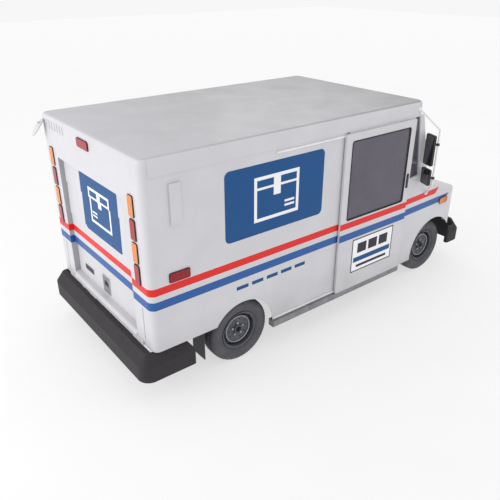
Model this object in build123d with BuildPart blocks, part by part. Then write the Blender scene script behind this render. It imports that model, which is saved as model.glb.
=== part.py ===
from build123d import *
from math import atan, atan2, cos, degrees, radians, sin, sqrt, tan
import os

# Mail delivery truck, right-hand drive, with an aluminium cargo body.
# Millimetres. +X forward, +Y to the vehicle's left, +Z up.
# Origin: on the ground, under the middle of the overall length.

# ---------------------------------------------------------------- driving dimensions
LENGTH = 4460.0
WHEELBASE = 2823.0
REAR_OVERHANG = 1045.0
HEIGHT = 2146.0
BODY_HALF_W = 952.5
SKIN = 4.0
GAP = 0.8
SEAT_GAP = 0.3
PIN_FIT = 0.05

REAR_AXLE_X = REAR_OVERHANG - LENGTH / 2
FRONT_AXLE_X = REAR_AXLE_X + WHEELBASE
BUMPER_REAR_X = -LENGTH / 2
BUMPER_FRONT_X = LENGTH / 2
BUMPER_DEPTH = 118.0
REAR_BUMPER_SEAT_X = BUMPER_REAR_X + BUMPER_DEPTH
FRONT_BUMPER_SEAT_X = BUMPER_FRONT_X - BUMPER_DEPTH - 2
PLATE_PITCH_Y = 177.8
PLATE_PITCH_Z = 120.65
PLATE_Z = 370.0
PLATE_HOLE_R = 3.3

# Tyres and wheels
TYRE_R = 319.5
TYRE_W = 190.0
RIM_R = 178.0
RIM_LIP_R = 190.0
REAR_TYRE_OUT_Y = 906.0
FRONT_TYRE_OUT_Y = 840.0
SPINDLE_R = 30.0
STUD_COUNT = 5
STUD_RING_R = 60.0

# Rear end
CAP_DEPTH = 68.0
BODY_REAR_X = REAR_AXLE_X - 910.0
CAP_SEAM_X = BODY_REAR_X + CAP_DEPTH
CAP_CORNER_R = 60.0
ROOF_EDGE_R = 40.0
SKIRT_REAR_Z = 505.0
REAR_DOOR_HALF_W = 658.0
REAR_DOOR_TOP_Z = 1777.0
REAR_SILL_Z = 588.0
REAR_DOOR_RECESS = 41.0
SECTION_T = 6.0
SECTION_LAP = 8.0
SECTION_FOOT_Z = [REAR_SILL_Z, 903.0, 1220.0, 1538.0]
LATCH_SECTION_INSET = 12.0
LATCH_Y = 13.0
LATCH_Z = 701.0
PLATE_PROUD = 6.0
CUP_DEPTH = 20.0
CUP_R = 48.0

# Cargo box and cab
SKIRT_Z = 322.0
ARCH_R = 345.0
FRONT_ARCH_R = 400.0
ROOF_BAND_Z = 2000.0
ROOF_BAND_PROUD = 6.0
ROOF_WALL = 12.0
ROOF_FRONT_X = REAR_AXLE_X + 2320.0
ROOF_CORNER_R = 90.0
FLOOR_Z = 560.0
FLOOR_T = 12.0
CAB_FLOOR_T = 8.0
BULKHEAD_X = REAR_AXLE_X + 1195.0
BULKHEAD_T = 6.0
RIB_DEPTH = 30.0
RIB_W = 40.0
WHEEL_HOUSE_TOP_Z = 745.0

# Sliding doors, outside the body
DOOR_REAR_X = REAR_AXLE_X + 1157.0
DOOR_FRONT_X = REAR_AXLE_X + 2167.0
DOOR_FOOT_Z = 325.0
DOOR_TOP_Z = 1988.0
DOOR_T = 24.0
DOOR_RAIL_T = 10.0
DOOR_WINDOW_REAR_X = REAR_AXLE_X + 1241.0
DOOR_WINDOW_FRONT_X = REAR_AXLE_X + 2085.0
DOOR_WINDOW_FOOT_Z = 1124.0
DOOR_WINDOW_TOP_Z = 1912.0
DOOR_TRAVEL = 800.0
GLASS_T = 5.0

# Front end
POST_REAR_X = REAR_AXLE_X + 2140.0
POST_FRONT_X = REAR_AXLE_X + 2187.0
PILLAR_W = 47.5
WINDSHIELD_TOP_X = REAR_AXLE_X + 2325.0
WINDSHIELD_FOOT_X = REAR_AXLE_X + 2560.0
WINDSHIELD_FOOT_Z = 1185.0
BELT_Z = 1120.0
FIREWALL_X = REAR_AXLE_X + 2440.0
HOOD_REAR_X = REAR_AXLE_X + 2568.0
FRONT_X = REAR_AXLE_X + 3200.0
FRONT_CORNER_R = 80.0
FRONT_HALF_W = 912.0
HOOD_FOOT_FRONT_Z = 985.0
HOOD_RISE = 42.0
FENDER_FOOT_Z = 300.0
FRONT_FOOT_Z = 562.0
GRILLE_HALF_W = 800.0

# Chassis
RAIL_IN_Y = 380.0
RAIL_W = 60.0
RAIL_FOOT_Z = 460.0
AXLE_TUBE_R = 38.0
RAIL_WALL = 6.0
SPRING_Y = 410.0
SPRING_W = 50.0
SPRING_EYE_Z = 345.0
SPRING_REACH = 620.0
TOWER_Y = 520.0
KINGPIN_Y = 640.0
KINGPIN_R = 14.0
STEERING_ARM = 95.0
CRANK_Z = 400.0
TUBE_R = 9.0
MIRROR_TUBE_X = REAR_AXLE_X + 2400.0
MIRROR_TUBE_Y = 1110.0

# Driver's place, on the right
DRIVER_Y = -480.0
WHEEL_HUB_X = REAR_AXLE_X + 2010.0
WHEEL_HUB_Z = 1240.0
COLUMN_TILT = 30.0
SEAT_REAR_X = REAR_AXLE_X + 1470.0
SEAT_W = 460.0
SEAT_Z = 900.0


# ---------------------------------------------------------------- helpers
def block(x0, x1, y0, y1, z0, z1, mode=Mode.ADD):
    """A box between six coordinates, in the open part."""
    with Locations(((x0 + x1) / 2, (y0 + y1) / 2, (z0 + z1) / 2)):
        Box(abs(x1 - x0), abs(y1 - y0), abs(z1 - z0), mode=mode)


def rod(start, end, radius, mode=Mode.ADD):
    """A round bar from one point to another, in the open part."""
    axis = Vector(*end) - Vector(*start)
    middle = (Vector(*start) + Vector(*end)) * 0.5
    with Locations(Plane(origin=middle, z_dir=axis)):
        Cylinder(radius, axis.length, mode=mode)


def ball(centre, radius):
    with Locations(centre):
        Sphere(radius)


def side_slab(side, inner, thickness, points, mode=Mode.ADD):
    """A flat outline in X and Z, standing from |y| = inner outwards."""
    with BuildSketch(Plane.XZ.offset(-side * inner)) as outline:
        with BuildLine():
            Polyline(*points, close=True)
        make_face()
    extrude(outline.sketch, amount=-side * thickness, mode=mode)


def both_sides(x0, x1, inner, outer, z0, z1, mode=Mode.ADD):
    for side in (-1, 1):
        block(x0, x1, side * inner, side * outer, z0, z1, mode)


def save(piece, name):
    piece.part.label = name
    export_step(piece.part, f"parts/{name}.step")


def windshield_x(z):
    """The front of the windshield pillars at a height."""
    slope = (WINDSHIELD_FOOT_X - WINDSHIELD_TOP_X) / (ROOF_BAND_Z - WINDSHIELD_FOOT_Z)
    return WINDSHIELD_TOP_X + (ROOF_BAND_Z - z) * slope


# ---------------------------------------------------------------- chassis
def make_chassis_frame():
    top = FLOOR_Z
    with BuildPart() as frame:
        rail_out = RAIL_IN_Y + RAIL_W
        web = rail_out - RAIL_WALL
        both_sides(CAP_SEAM_X, FRONT_X - 20, RAIL_IN_Y, rail_out, RAIL_FOOT_Z, top)
        both_sides(BODY_REAR_X, FRONT_X, RAIL_IN_Y - 1, web, RAIL_FOOT_Z + RAIL_WALL, top - RAIL_WALL, Mode.SUBTRACT)
        for offset in (-820, -470, 760, 1450, 2100):
            x = REAR_AXLE_X + offset
            block(x - 20, x + 20, -web - 1, web + 1, top - 55, top)
        x = REAR_AXLE_X + 3085
        block(x - 40, x + 40, -web - 1, web + 1, RAIL_FOOT_Z - 20, RAIL_FOOT_Z + 20)
        block(FRONT_AXLE_X - 40, FRONT_AXLE_X + 40, -TOWER_Y + 60, TOWER_Y - 60, 330, 430)
        both_sides(FRONT_AXLE_X - 40, FRONT_AXLE_X + 40, RAIL_IN_Y, rail_out, 420, RAIL_FOOT_Z + 5)
        both_sides(FRONT_AXLE_X - 45, FRONT_AXLE_X + 45, rail_out - 1, TOWER_Y, 240, top)
        hanger_in = SPRING_Y - SPRING_W / 2 - 1
        hanger_out = SPRING_Y + SPRING_W / 2 + 1
        for reach in (-SPRING_REACH, SPRING_REACH):
            x = REAR_AXLE_X + reach
            for side in (-1, 1):
                block(x - 30, x + 30, side * (hanger_in - 6), side * hanger_in, 320, RAIL_FOOT_Z + 5)
                block(x - 30, x + 30, side * hanger_out, side * (hanger_out + 6), 320, RAIL_FOOT_Z + 5)
                rod((x, side * (hanger_in - 6), SPRING_EYE_Z), (x, side * (hanger_out + 6), SPRING_EYE_Z), 9)
        for side in (-1, 1):
            block(FRONT_X - 25, FRONT_BUMPER_SEAT_X, side * RAIL_IN_Y, side * rail_out, 430, 520)
            block(REAR_BUMPER_SEAT_X, CAP_SEAM_X + 5, side * RAIL_IN_Y, side * rail_out, RAIL_FOOT_Z, 495)
    return frame


def make_leaf_springs():
    """Two packs of leaves, slung under the axle tube, with an eye at each end."""
    centre_z = TYRE_R - AXLE_TUBE_R - 14
    with BuildPart() as springs:
        for side in (-1, 1):
            inner = SPRING_Y - SPRING_W / 2
            with BuildSketch(Plane.XZ.offset(-side * inner)):
                with BuildLine():
                    reach = SPRING_REACH
                    eye = SPRING_EYE_Z - 22
                    a = (REAR_AXLE_X - reach, eye)
                    b = (REAR_AXLE_X, centre_z - 9)
                    c = (REAR_AXLE_X + reach, eye)
                    upper = ThreePointArc(a, b, c)
                    a2 = (REAR_AXLE_X - reach, eye + 10)
                    b2 = (REAR_AXLE_X, centre_z + 12)
                    c2 = (REAR_AXLE_X + reach, eye + 10)
                    lower = ThreePointArc(a2, b2, c2)
                    Line(upper @ 0, lower @ 0)
                    Line(upper @ 1, lower @ 1)
                make_face()
            extrude(amount=-side * SPRING_W)
            for end in (-reach, reach):
                x = REAR_AXLE_X + end
                rod((x, side * inner, SPRING_EYE_Z), (x, side * (inner + SPRING_W), SPRING_EYE_Z), 20)
                rod((x, side * (inner - 5), SPRING_EYE_Z), (x, side * (inner + SPRING_W + 5), SPRING_EYE_Z), 9 + SEAT_GAP, Mode.SUBTRACT)
    return springs


def make_rear_axle():
    hub_y = REAR_TYRE_OUT_Y - 60
    with BuildPart() as axle:
        rod((REAR_AXLE_X, -hub_y + 60, TYRE_R), (REAR_AXLE_X, hub_y - 60, TYRE_R), AXLE_TUBE_R)
        rod((REAR_AXLE_X, -hub_y + 4, TYRE_R), (REAR_AXLE_X, hub_y - 4, TYRE_R), SPINDLE_R)
        ball((REAR_AXLE_X, 0, TYRE_R), 118)
        rod((REAR_AXLE_X + 90, 0, TYRE_R), (REAR_AXLE_X + 190, 0, TYRE_R), 45)
        for side in (-1, 1):
            rod((REAR_AXLE_X, side * (hub_y - 130), TYRE_R), (REAR_AXLE_X, side * (hub_y - 110), TYRE_R), 120)
            block(REAR_AXLE_X - 55, REAR_AXLE_X + 55, side * 375, side * 445, TYRE_R - AXLE_TUBE_R + 1, TYRE_R - 20)
    return axle


def make_driveshaft():
    rear = (REAR_AXLE_X + 190 + GAP, 0, TYRE_R)
    front_x = REAR_AXLE_X + 1700 - GAP
    front = (front_x, 0, TYRE_R)
    with BuildPart() as shaft:
        rod(rear, (rear[0] + 60, 0, TYRE_R), 42)
        rod((rear[0] + 50, 0, TYRE_R), (front_x - 50, 0, TYRE_R), 30)
        rod((front_x - 60, 0, TYRE_R), front, 38)
    return shaft


def make_engine():
    x0 = REAR_AXLE_X + 2475
    with BuildPart() as engine:
        block(x0, x0 + 430, -190, 190, 440, 760)
        block(x0 + 20, x0 + 410, -150, 150, 750, 900)
        block(x0 + 20, x0 + 250, -140, 140, 345, 445)
        rod((x0 + 200, 0, 890), (x0 + 200, 0, 965), 150)
        rod((x0 + 425, 0, 640), (x0 + 470, 0, 640), 170)
        both_sides(x0 + 150, x0 + 210, 180, RAIL_IN_Y, 470, 520)
        rod((x0 - 140, 0, CRANK_Z), (x0 + 5, 0, CRANK_Z), 150)
        rod((REAR_AXLE_X + 1900, 0, CRANK_Z), (x0 - 130, 0, CRANK_Z), 100)
        rod((REAR_AXLE_X + 1740, 0, CRANK_Z), (REAR_AXLE_X + 1910, 0, CRANK_Z), 60)
        block(REAR_AXLE_X + 1700, REAR_AXLE_X + 1760, -50, 50, TYRE_R - 45, CRANK_Z + 40)
    return engine


def make_radiator():
    x0 = REAR_AXLE_X + 3062
    with BuildPart() as radiator:
        block(x0, x0 + 46, -330, 330, RAIL_FOOT_Z + 20, 920)
        for row in range(9):
            z = RAIL_FOOT_Z + 80 + row * 42
            block(x0 - 1, x0 + 10, -300, 300, z, z + 26, Mode.SUBTRACT)
            block(x0 + 36, x0 + 47, -300, 300, z, z + 26, Mode.SUBTRACT)
        rod((x0 + 23, 200, 915), (x0 + 23, 200, 940), 30)
    return radiator


def make_exhaust():
    y = 560.0
    z = 400.0
    points = [
        (REAR_AXLE_X + 2420, 250, z),
        (REAR_AXLE_X + 2250, 300, z - 40),
        (REAR_AXLE_X + 1950, y, z - 40),
        (REAR_AXLE_X + 1450, y, z),
    ]
    with BuildPart() as exhaust:
        for start, end in zip(points, points[1:]):
            rod(start, end, 24)
            ball(end, 24)
        rod((REAR_AXLE_X + 900, y, z), (REAR_AXLE_X + 1450, y, z), 85)
        rod((REAR_AXLE_X + 520, y, z), (REAR_AXLE_X + 910, y, z), 24)
        block(REAR_AXLE_X + 1160, REAR_AXLE_X + 1190, y - 20, y + 20, z + 70, FLOOR_Z)
        block(REAR_AXLE_X + 600, REAR_AXLE_X + 620, y - 15, y + 15, z + 15, FLOOR_Z)
        block(REAR_AXLE_X + 2380, REAR_AXLE_X + 2425, 150.3, 265, z - 12, z + 12)
    return exhaust


def make_fuel_tank():
    with BuildPart() as tank:
        block(REAR_AXLE_X - 880, REAR_AXLE_X - 440, -330, 330, 295, 480)
        fillet(tank.edges().filter_by(Axis.Z), 50)
        fillet(tank.edges().group_by(Axis.Z)[0], 25)
        for offset in (-820, -470):
            x = REAR_AXLE_X + offset
            block(x - 20, x + 20, -60, 60, 470, FLOOR_Z - 55)
    return tank


# ---------------------------------------------------------------- wheels
def wheel_profile(side, out_y):
    """The pressed rim, dished disc and hub, as one section turned about the axle."""
    face = out_y - 60
    points = [
        (SPINDLE_R + SEAT_GAP, face - 55),
        (120, face - 55),
        (120, face - 6),
        (132, face - 6),
        (146, face - 34),
        (RIM_R - 14, face - 34),
        (RIM_R - 14, out_y - TYRE_W + 22),
        (RIM_LIP_R, out_y - TYRE_W + 14),
        (RIM_LIP_R, out_y - TYRE_W + 6),
        (RIM_LIP_R + 4, out_y - TYRE_W + 6),
        (RIM_LIP_R + 4, out_y - TYRE_W + 20),
        (RIM_R, out_y - TYRE_W + 28),
        (RIM_R, out_y - 28),
        (RIM_LIP_R + 4, out_y - 20),
        (RIM_LIP_R + 4, out_y - 8),
        (RIM_LIP_R, out_y - 8),
        (RIM_LIP_R - 2, out_y - 16),
        (RIM_R - 8, out_y - 26),
        (RIM_R - 8, face - 26),
        (150, face - 26),
        (138, face + 6),
        (112, face + 6),
        (92, face),
        (44, face),
        (40, face + 22),
        (SPINDLE_R + SEAT_GAP, face + 26),
    ]
    return [(side * y, radius) for radius, y in points]


def make_wheel(x, side, out_y):
    face = out_y - 60
    plane = Plane(origin=(x, 0, TYRE_R), x_dir=(0, 1, 0), z_dir=(1, 0, 0))
    with BuildPart() as wheel:
        with BuildSketch(plane):
            with BuildLine():
                Polyline(*wheel_profile(side, out_y), close=True)
            make_face()
        revolve(axis=Axis((x, 0, TYRE_R), (0, 1, 0)))
        for index in range(STUD_COUNT):
            angle = radians(90 + index * 360 / STUD_COUNT)
            px = x + STUD_RING_R * cos(angle)
            pz = TYRE_R + STUD_RING_R * sin(angle)
            rod((px, side * (face - 4), pz), (px, side * (face + 16), pz), 10)
        for index in range(2 * STUD_COUNT):
            angle = radians(index * 180 / STUD_COUNT)
            px = x + 101 * cos(angle)
            pz = TYRE_R + 101 * sin(angle)
            rod((px, side * (face - 5), pz), (px, side * (face + 10), pz), 6.5, Mode.SUBTRACT)
    return wheel


def make_tyre(x, side, out_y):
    """The tyre: bulged side walls, a flat tread and two grooves."""
    bead = RIM_R + SEAT_GAP
    inside = out_y - TYRE_W
    lip = RIM_LIP_R + 4 + SEAT_GAP
    plane = Plane(origin=(x, 0, TYRE_R), x_dir=(0, 1, 0), z_dir=(1, 0, 0))
    outline = [
        (bead, inside + 29),
        (lip, inside + 20.5),
        (lip, inside + 10),
        (lip + 22, inside + 2),
        (lip + 50, inside),
        (TYRE_R - 46, inside + 1),
        (TYRE_R - 18, inside + 8),
        (TYRE_R - 4, inside + 22),
        (TYRE_R, inside + 38),
    ]
    middle = inside + TYRE_W / 2
    right = [(radius, 2 * middle - y) for radius, y in reversed(outline)]
    grooves = []
    for offset in (-25, 25):
        grooves += [
            (TYRE_R, middle + offset - 4),
            (TYRE_R - 8, middle + offset - 3),
            (TYRE_R - 8, middle + offset + 3),
            (TYRE_R, middle + offset + 4),
        ]
    points = [(side * y, radius) for radius, y in outline + grooves + right]
    wall = 14
    air = [
        (bead - 1, inside + 34),
        (bead + 30, inside + 34),
        (bead + 46, inside + wall),
        (TYRE_R - 50, inside + wall),
        (TYRE_R - 24, inside + wall + 12),
    ]
    air += [(radius, 2 * middle - y) for radius, y in reversed(air)]
    with BuildPart() as tyre:
        with BuildSketch(plane):
            with BuildLine():
                Polyline(*points, close=True)
            make_face()
            with BuildLine():
                Polyline(*[(side * y, radius) for radius, y in air], close=True)
            make_face(mode=Mode.SUBTRACT)
        revolve(axis=Axis((x, 0, TYRE_R), (0, 1, 0)))
    return tyre


# ---------------------------------------------------------------- front suspension and steering
def make_carrier(side):
    """The upright that slides on the tower, with two ears for the kingpin."""
    x = FRONT_AXLE_X
    near = TOWER_Y + GAP
    with BuildPart() as carrier:
        block(x - 40, x + 40, side * near, side * (near + 30), 215, 430)
        for z in (215, 400):
            block(x - 28, x + 28, side * (near + 25), side * (KINGPIN_Y + 25), z, z + 30)
        rod((x, side * KINGPIN_Y, 216), (x, side * KINGPIN_Y, 429), KINGPIN_R)
    return carrier


def make_knuckle(side):
    """The steered knuckle: a sleeve on the kingpin, a spindle and a steering arm."""
    x = FRONT_AXLE_X
    hub_y = FRONT_TYRE_OUT_Y - 60
    with BuildPart() as knuckle:
        rod((x, side * KINGPIN_Y, 245 + SEAT_GAP), (x, side * KINGPIN_Y, 400 - SEAT_GAP), 28)
        rod((x, side * KINGPIN_Y, TYRE_R), (x, side * (hub_y - 60), TYRE_R), 36)
        rod((x, side * (hub_y - 110), TYRE_R), (x, side * (hub_y - 60), TYRE_R), 60)
        rod((x, side * KINGPIN_Y, TYRE_R), (x, side * (hub_y - 4), TYRE_R), SPINDLE_R)
        block(x - STEERING_ARM, x, side * (KINGPIN_Y - 12), side * (KINGPIN_Y + 12), 262, 282)
        rod((x, side * KINGPIN_Y, 240), (x, side * KINGPIN_Y, 405), KINGPIN_R + PIN_FIT, Mode.SUBTRACT)
    return knuckle


def make_tie_rod():
    """The relay rod behind the axle, just clear of both steering arms."""
    x = FRONT_AXLE_X - STEERING_ARM - GAP - 10
    with BuildPart() as tie:
        rod((x, -KINGPIN_Y - 5, 272), (x, KINGPIN_Y + 5, 272), 10)
        rod((x, -40, 272), (x, 40, 272), 16)
    return tie


# ---------------------------------------------------------------- body shell
def make_side_panel(side):
    """The aluminium side of the cargo box, with ribs inside and a vent box outside."""
    x0 = CAP_SEAM_X
    x1 = BULKHEAD_X - 5
    inner = BODY_HALF_W - SKIN
    with BuildPart() as panel:
        block(x0, x1, side * inner, side * BODY_HALF_W, SKIRT_Z, ROOF_BAND_Z)
        block(x0, REAR_AXLE_X, side * (inner - 1), side * (BODY_HALF_W + 1), SKIRT_Z - 1, SKIRT_REAR_Z, Mode.SUBTRACT)
        for offset in (-810, -440, 440, 800, 1140):
            x = REAR_AXLE_X + offset
            block(x, x + RIB_W, side * (inner - RIB_DEPTH), side * (inner + 1), FLOOR_Z + FLOOR_T, ROOF_BAND_Z)
        block(x0, x1, side * (inner - RIB_DEPTH), side * (inner + 1), ROOF_BAND_Z - 40, ROOF_BAND_Z)
        rod(
            (REAR_AXLE_X, side * (inner - 1), TYRE_R),
            (REAR_AXLE_X, side * (BODY_HALF_W + 1), TYRE_R),
            ARCH_R,
            Mode.SUBTRACT,
        )
        block(REAR_AXLE_X - 685, REAR_AXLE_X - 587, side * (inner + 1), side * (BODY_HALF_W + 16), 1597, 1927)
    return panel


def make_roof():
    """The roof cap: a sheet with a deep band all round and ribs under it."""
    half = BODY_HALF_W + ROOF_BAND_PROUD
    with BuildPart() as roof:
        with BuildSketch(Plane.XY.offset(ROOF_BAND_Z)):
            with Locations(((CAP_SEAM_X + ROOF_FRONT_X) / 2, 0)):
                Rectangle(ROOF_FRONT_X - CAP_SEAM_X, 2 * half)
            fillet(vertices_at(ROOF_FRONT_X), ROOF_CORNER_R)
        extrude(amount=HEIGHT - ROOF_BAND_Z)
        top = roof.faces().sort_by(Axis.Z)[-1]
        fillet(top.edges().filter_by(lambda e: e.center().X > CAP_SEAM_X + 1), ROOF_EDGE_R)
        block(
            CAP_SEAM_X - 1,
            ROOF_FRONT_X - ROOF_CORNER_R,
            -half + ROOF_WALL,
            half - ROOF_WALL,
            ROOF_BAND_Z - 1,
            HEIGHT - 45,
            Mode.SUBTRACT,
        )
        block(
            ROOF_FRONT_X - ROOF_CORNER_R - 1,
            ROOF_FRONT_X - 20,
            -half + ROOF_CORNER_R,
            half - ROOF_CORNER_R,
            ROOF_BAND_Z - 1,
            HEIGHT - 45,
            Mode.SUBTRACT,
        )
        block(
            CAP_SEAM_X - 1,
            ROOF_FRONT_X - ROOF_CORNER_R,
            -half + 50,
            half - 50,
            ROOF_BAND_Z - 1,
            HEIGHT - SKIN,
            Mode.SUBTRACT,
        )
        for index in range(7):
            x = CAP_SEAM_X + 300 + index * 380
            block(x, x + 30, -half + 45, half - 45, HEIGHT - 30, HEIGHT - SKIN + 1)
    return roof


def vertices_at(x):
    """The corners of the open sketch that lie at one x."""
    return BuildSketch._get_context(None).vertices().filter_by(lambda v: abs(v.X - x) < 0.01)


def make_rear_frame():
    """The rear end cap: lamp pillars, header and sill in one rounded frame."""
    x0 = BODY_REAR_X
    x1 = CAP_SEAM_X
    with BuildPart() as cap:
        with BuildSketch(Plane.XY.offset(SKIRT_REAR_Z)):
            with Locations(((x0 + x1) / 2, 0)):
                Rectangle(x1 - x0, 2 * BODY_HALF_W)
            fillet(vertices_at(x0), CAP_CORNER_R)
        extrude(amount=HEIGHT - SKIRT_REAR_Z)
        top = cap.faces().sort_by(Axis.Z)[-1]
        fillet(top.edges().filter_by(lambda e: e.center().X < x1 - 1), ROOF_EDGE_R)
        block(x0 - 1, x1 + 1, -REAR_DOOR_HALF_W, REAR_DOOR_HALF_W, REAR_SILL_Z, REAR_DOOR_TOP_Z, Mode.SUBTRACT)
        block(x0 + 16, x1 + 1, -REAR_DOOR_HALF_W, REAR_DOOR_HALF_W, REAR_DOOR_TOP_Z - 1, HEIGHT - 20, Mode.SUBTRACT)
        for side in (-1, 1):
            column_in = side * (REAR_DOOR_HALF_W + 30)
            column_out = side * (BODY_HALF_W - CAP_CORNER_R)
            block(x0 + 14, x1 + 1, column_in, column_out, 640, HEIGHT - 60, Mode.SUBTRACT)
            block(x0 + 46, x1 + 1, column_out - side, side * (BODY_HALF_W - 6), 640, HEIGHT - 60, Mode.SUBTRACT)
            block(x0 - 1, x0 + 10, side * 796, side * 808, 560, 880, Mode.SUBTRACT)
        ledge = x0 - 15
        block(ledge, x0 + 1, -REAR_DOOR_HALF_W - 120, REAR_DOOR_HALF_W + 120, SKIRT_REAR_Z, REAR_SILL_Z - 45)
        with BuildSketch(Plane.XZ.offset(-REAR_DOOR_HALF_W)):
            with BuildLine():
                Polyline(
                    (ledge, SKIRT_REAR_Z),
                    (ledge, REAR_SILL_Z - 45),
                    (x0 + 20, REAR_SILL_Z),
                    (x0 + 30, REAR_SILL_Z),
                    (x0 + 30, SKIRT_REAR_Z),
                    close=True,
                )
            make_face()
        extrude(amount=2 * REAR_DOOR_HALF_W)
        for index in range(7):
            y = 430 + index * 62
            block(x0 - 5, x0 + 1, y, y + 14, 2024, 2100)
        block(x0 - 70, x0 + 1, 858, 872, 2060, 2074)
    return cap


def make_cowl_frame():
    """Firewall, cowl, windshield pillars, header and the cab's front posts."""
    inner = BODY_HALF_W - PILLAR_W
    quarter_top_x = REAR_AXLE_X + 2262
    quarter_foot_x = REAR_AXLE_X + 2364
    with BuildPart() as cowl:
        for side in (-1, 1):
            outline = [
                (POST_FRONT_X, BELT_Z),
                (WINDSHIELD_FOOT_X, BELT_Z),
                (WINDSHIELD_FOOT_X, WINDSHIELD_FOOT_Z),
                (WINDSHIELD_TOP_X, ROOF_BAND_Z),
                (quarter_top_x, ROOF_BAND_Z),
                (quarter_top_x, 1992),
                (quarter_foot_x, 1350),
                (POST_FRONT_X, 1331),
            ]
            side_slab(side, inner, PILLAR_W, outline)
            block(POST_REAR_X, POST_FRONT_X, side * inner, side * BODY_HALF_W, FLOOR_Z + CAB_FLOOR_T, ROOF_BAND_Z)
            block(POST_REAR_X, POST_FRONT_X, side * (BODY_HALF_W - 8), side * BODY_HALF_W, SKIRT_Z + 5, FLOOR_Z + CAB_FLOOR_T + 1)
            block(POST_FRONT_X - 1, quarter_top_x + 1, side * inner, side * BODY_HALF_W, 1992, ROOF_BAND_Z)
        x_top = windshield_x(ROOF_BAND_Z)
        block(x_top - 60, x_top - 20, -inner, inner, ROOF_BAND_Z - 30, ROOF_BAND_Z)
        block(FIREWALL_X, WINDSHIELD_FOOT_X, -inner - 1, inner + 1, BELT_Z, BELT_Z + 12)
        block(WINDSHIELD_FOOT_X - 10, WINDSHIELD_FOOT_X, -inner - 1, inner + 1, BELT_Z, WINDSHIELD_FOOT_Z - 12)
        block(FIREWALL_X, FIREWALL_X + 6, -inner - 25, inner + 25, FLOOR_Z + CAB_FLOOR_T, BELT_Z + 1)
        both_sides(FIREWALL_X - 210, FIREWALL_X + 6, inner + 19, inner + 25, FLOOR_Z + CAB_FLOOR_T, BELT_Z + 1)
    return cowl


def make_cab_glass():
    """The windshield and two quarter windows."""
    inner = BODY_HALF_W - PILLAR_W
    foot_z = WINDSHIELD_FOOT_Z - 12
    top_z = ROOF_BAND_Z - 2
    back = 18
    with BuildPart() as glass:
        with BuildSketch(Plane.XZ.offset(-inner + GAP)):
            with BuildLine():
                Polyline(
                    (windshield_x(foot_z) - back, foot_z + 1),
                    (windshield_x(foot_z) - back + 6, foot_z + 1),
                    (windshield_x(top_z) - back + 6, top_z),
                    (windshield_x(top_z) - back, top_z),
                    close=True,
                )
            make_face()
        extrude(amount=2 * (inner - GAP))
        for side in (-1, 1):
            outline = [
                (POST_FRONT_X + GAP, 1331 + GAP),
                (REAR_AXLE_X + 2362, 1350 + GAP),
                (REAR_AXLE_X + 2261, 1992 - GAP),
                (POST_FRONT_X + GAP, 1992 - GAP),
            ]
            side_slab(side, BODY_HALF_W - 20, GLASS_T, outline)
    return glass


def front_outline(inset):
    """Plan of the front end, narrowing forward, with rounded front corners."""
    side_y = BODY_HALF_W - inset
    nose_y = FRONT_HALF_W - inset
    with BuildLine() as plan:
        Polyline(
            (POST_FRONT_X, side_y),
            (FRONT_X - inset, nose_y),
            (FRONT_X - inset, -nose_y),
            (POST_FRONT_X, -side_y),
            close=True,
        )
    make_face(plan.edges())
    fillet(vertices_at(FRONT_X - inset), FRONT_CORNER_R - inset)


def make_front_fenders():
    """Right and left front fenders, each a thin wall with its wheel arch."""
    with BuildPart() as fenders:
        with BuildSketch(Plane.XY.offset(FENDER_FOOT_Z)):
            front_outline(0)
        extrude(amount=BELT_Z - FENDER_FOOT_Z)
        with BuildSketch(Plane.XY.offset(FENDER_FOOT_Z - 1)):
            front_outline(SKIN + 1)
        extrude(amount=BELT_Z - FENDER_FOOT_Z + 2, mode=Mode.SUBTRACT)
        rod(
            (FRONT_AXLE_X, -BODY_HALF_W - 1, TYRE_R),
            (FRONT_AXLE_X, BODY_HALF_W + 1, TYRE_R),
            FRONT_ARCH_R,
            Mode.SUBTRACT,
        )
        block(FRONT_AXLE_X, FRONT_X + 1, -BODY_HALF_W - 1, BODY_HALF_W + 1, FENDER_FOOT_Z - 1, FRONT_FOOT_Z, Mode.SUBTRACT)
        block(FRONT_X - 50, FRONT_X + 1, -GRILLE_HALF_W, GRILLE_HALF_W, FENDER_FOOT_Z, BELT_Z + 1, Mode.SUBTRACT)
        with BuildSketch(Plane.XZ.offset(-BODY_HALF_W - 1)):
            with BuildLine():
                Polyline(
                    (HOOD_REAR_X, BELT_Z),
                    (FRONT_X + 1, HOOD_FOOT_FRONT_Z),
                    (FRONT_X + 1, BELT_Z + 5),
                    (HOOD_REAR_X, BELT_Z + 5),
                    close=True,
                )
            make_face()
        extrude(amount=2 * BODY_HALF_W + 2, mode=Mode.SUBTRACT)
    return fenders


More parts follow.
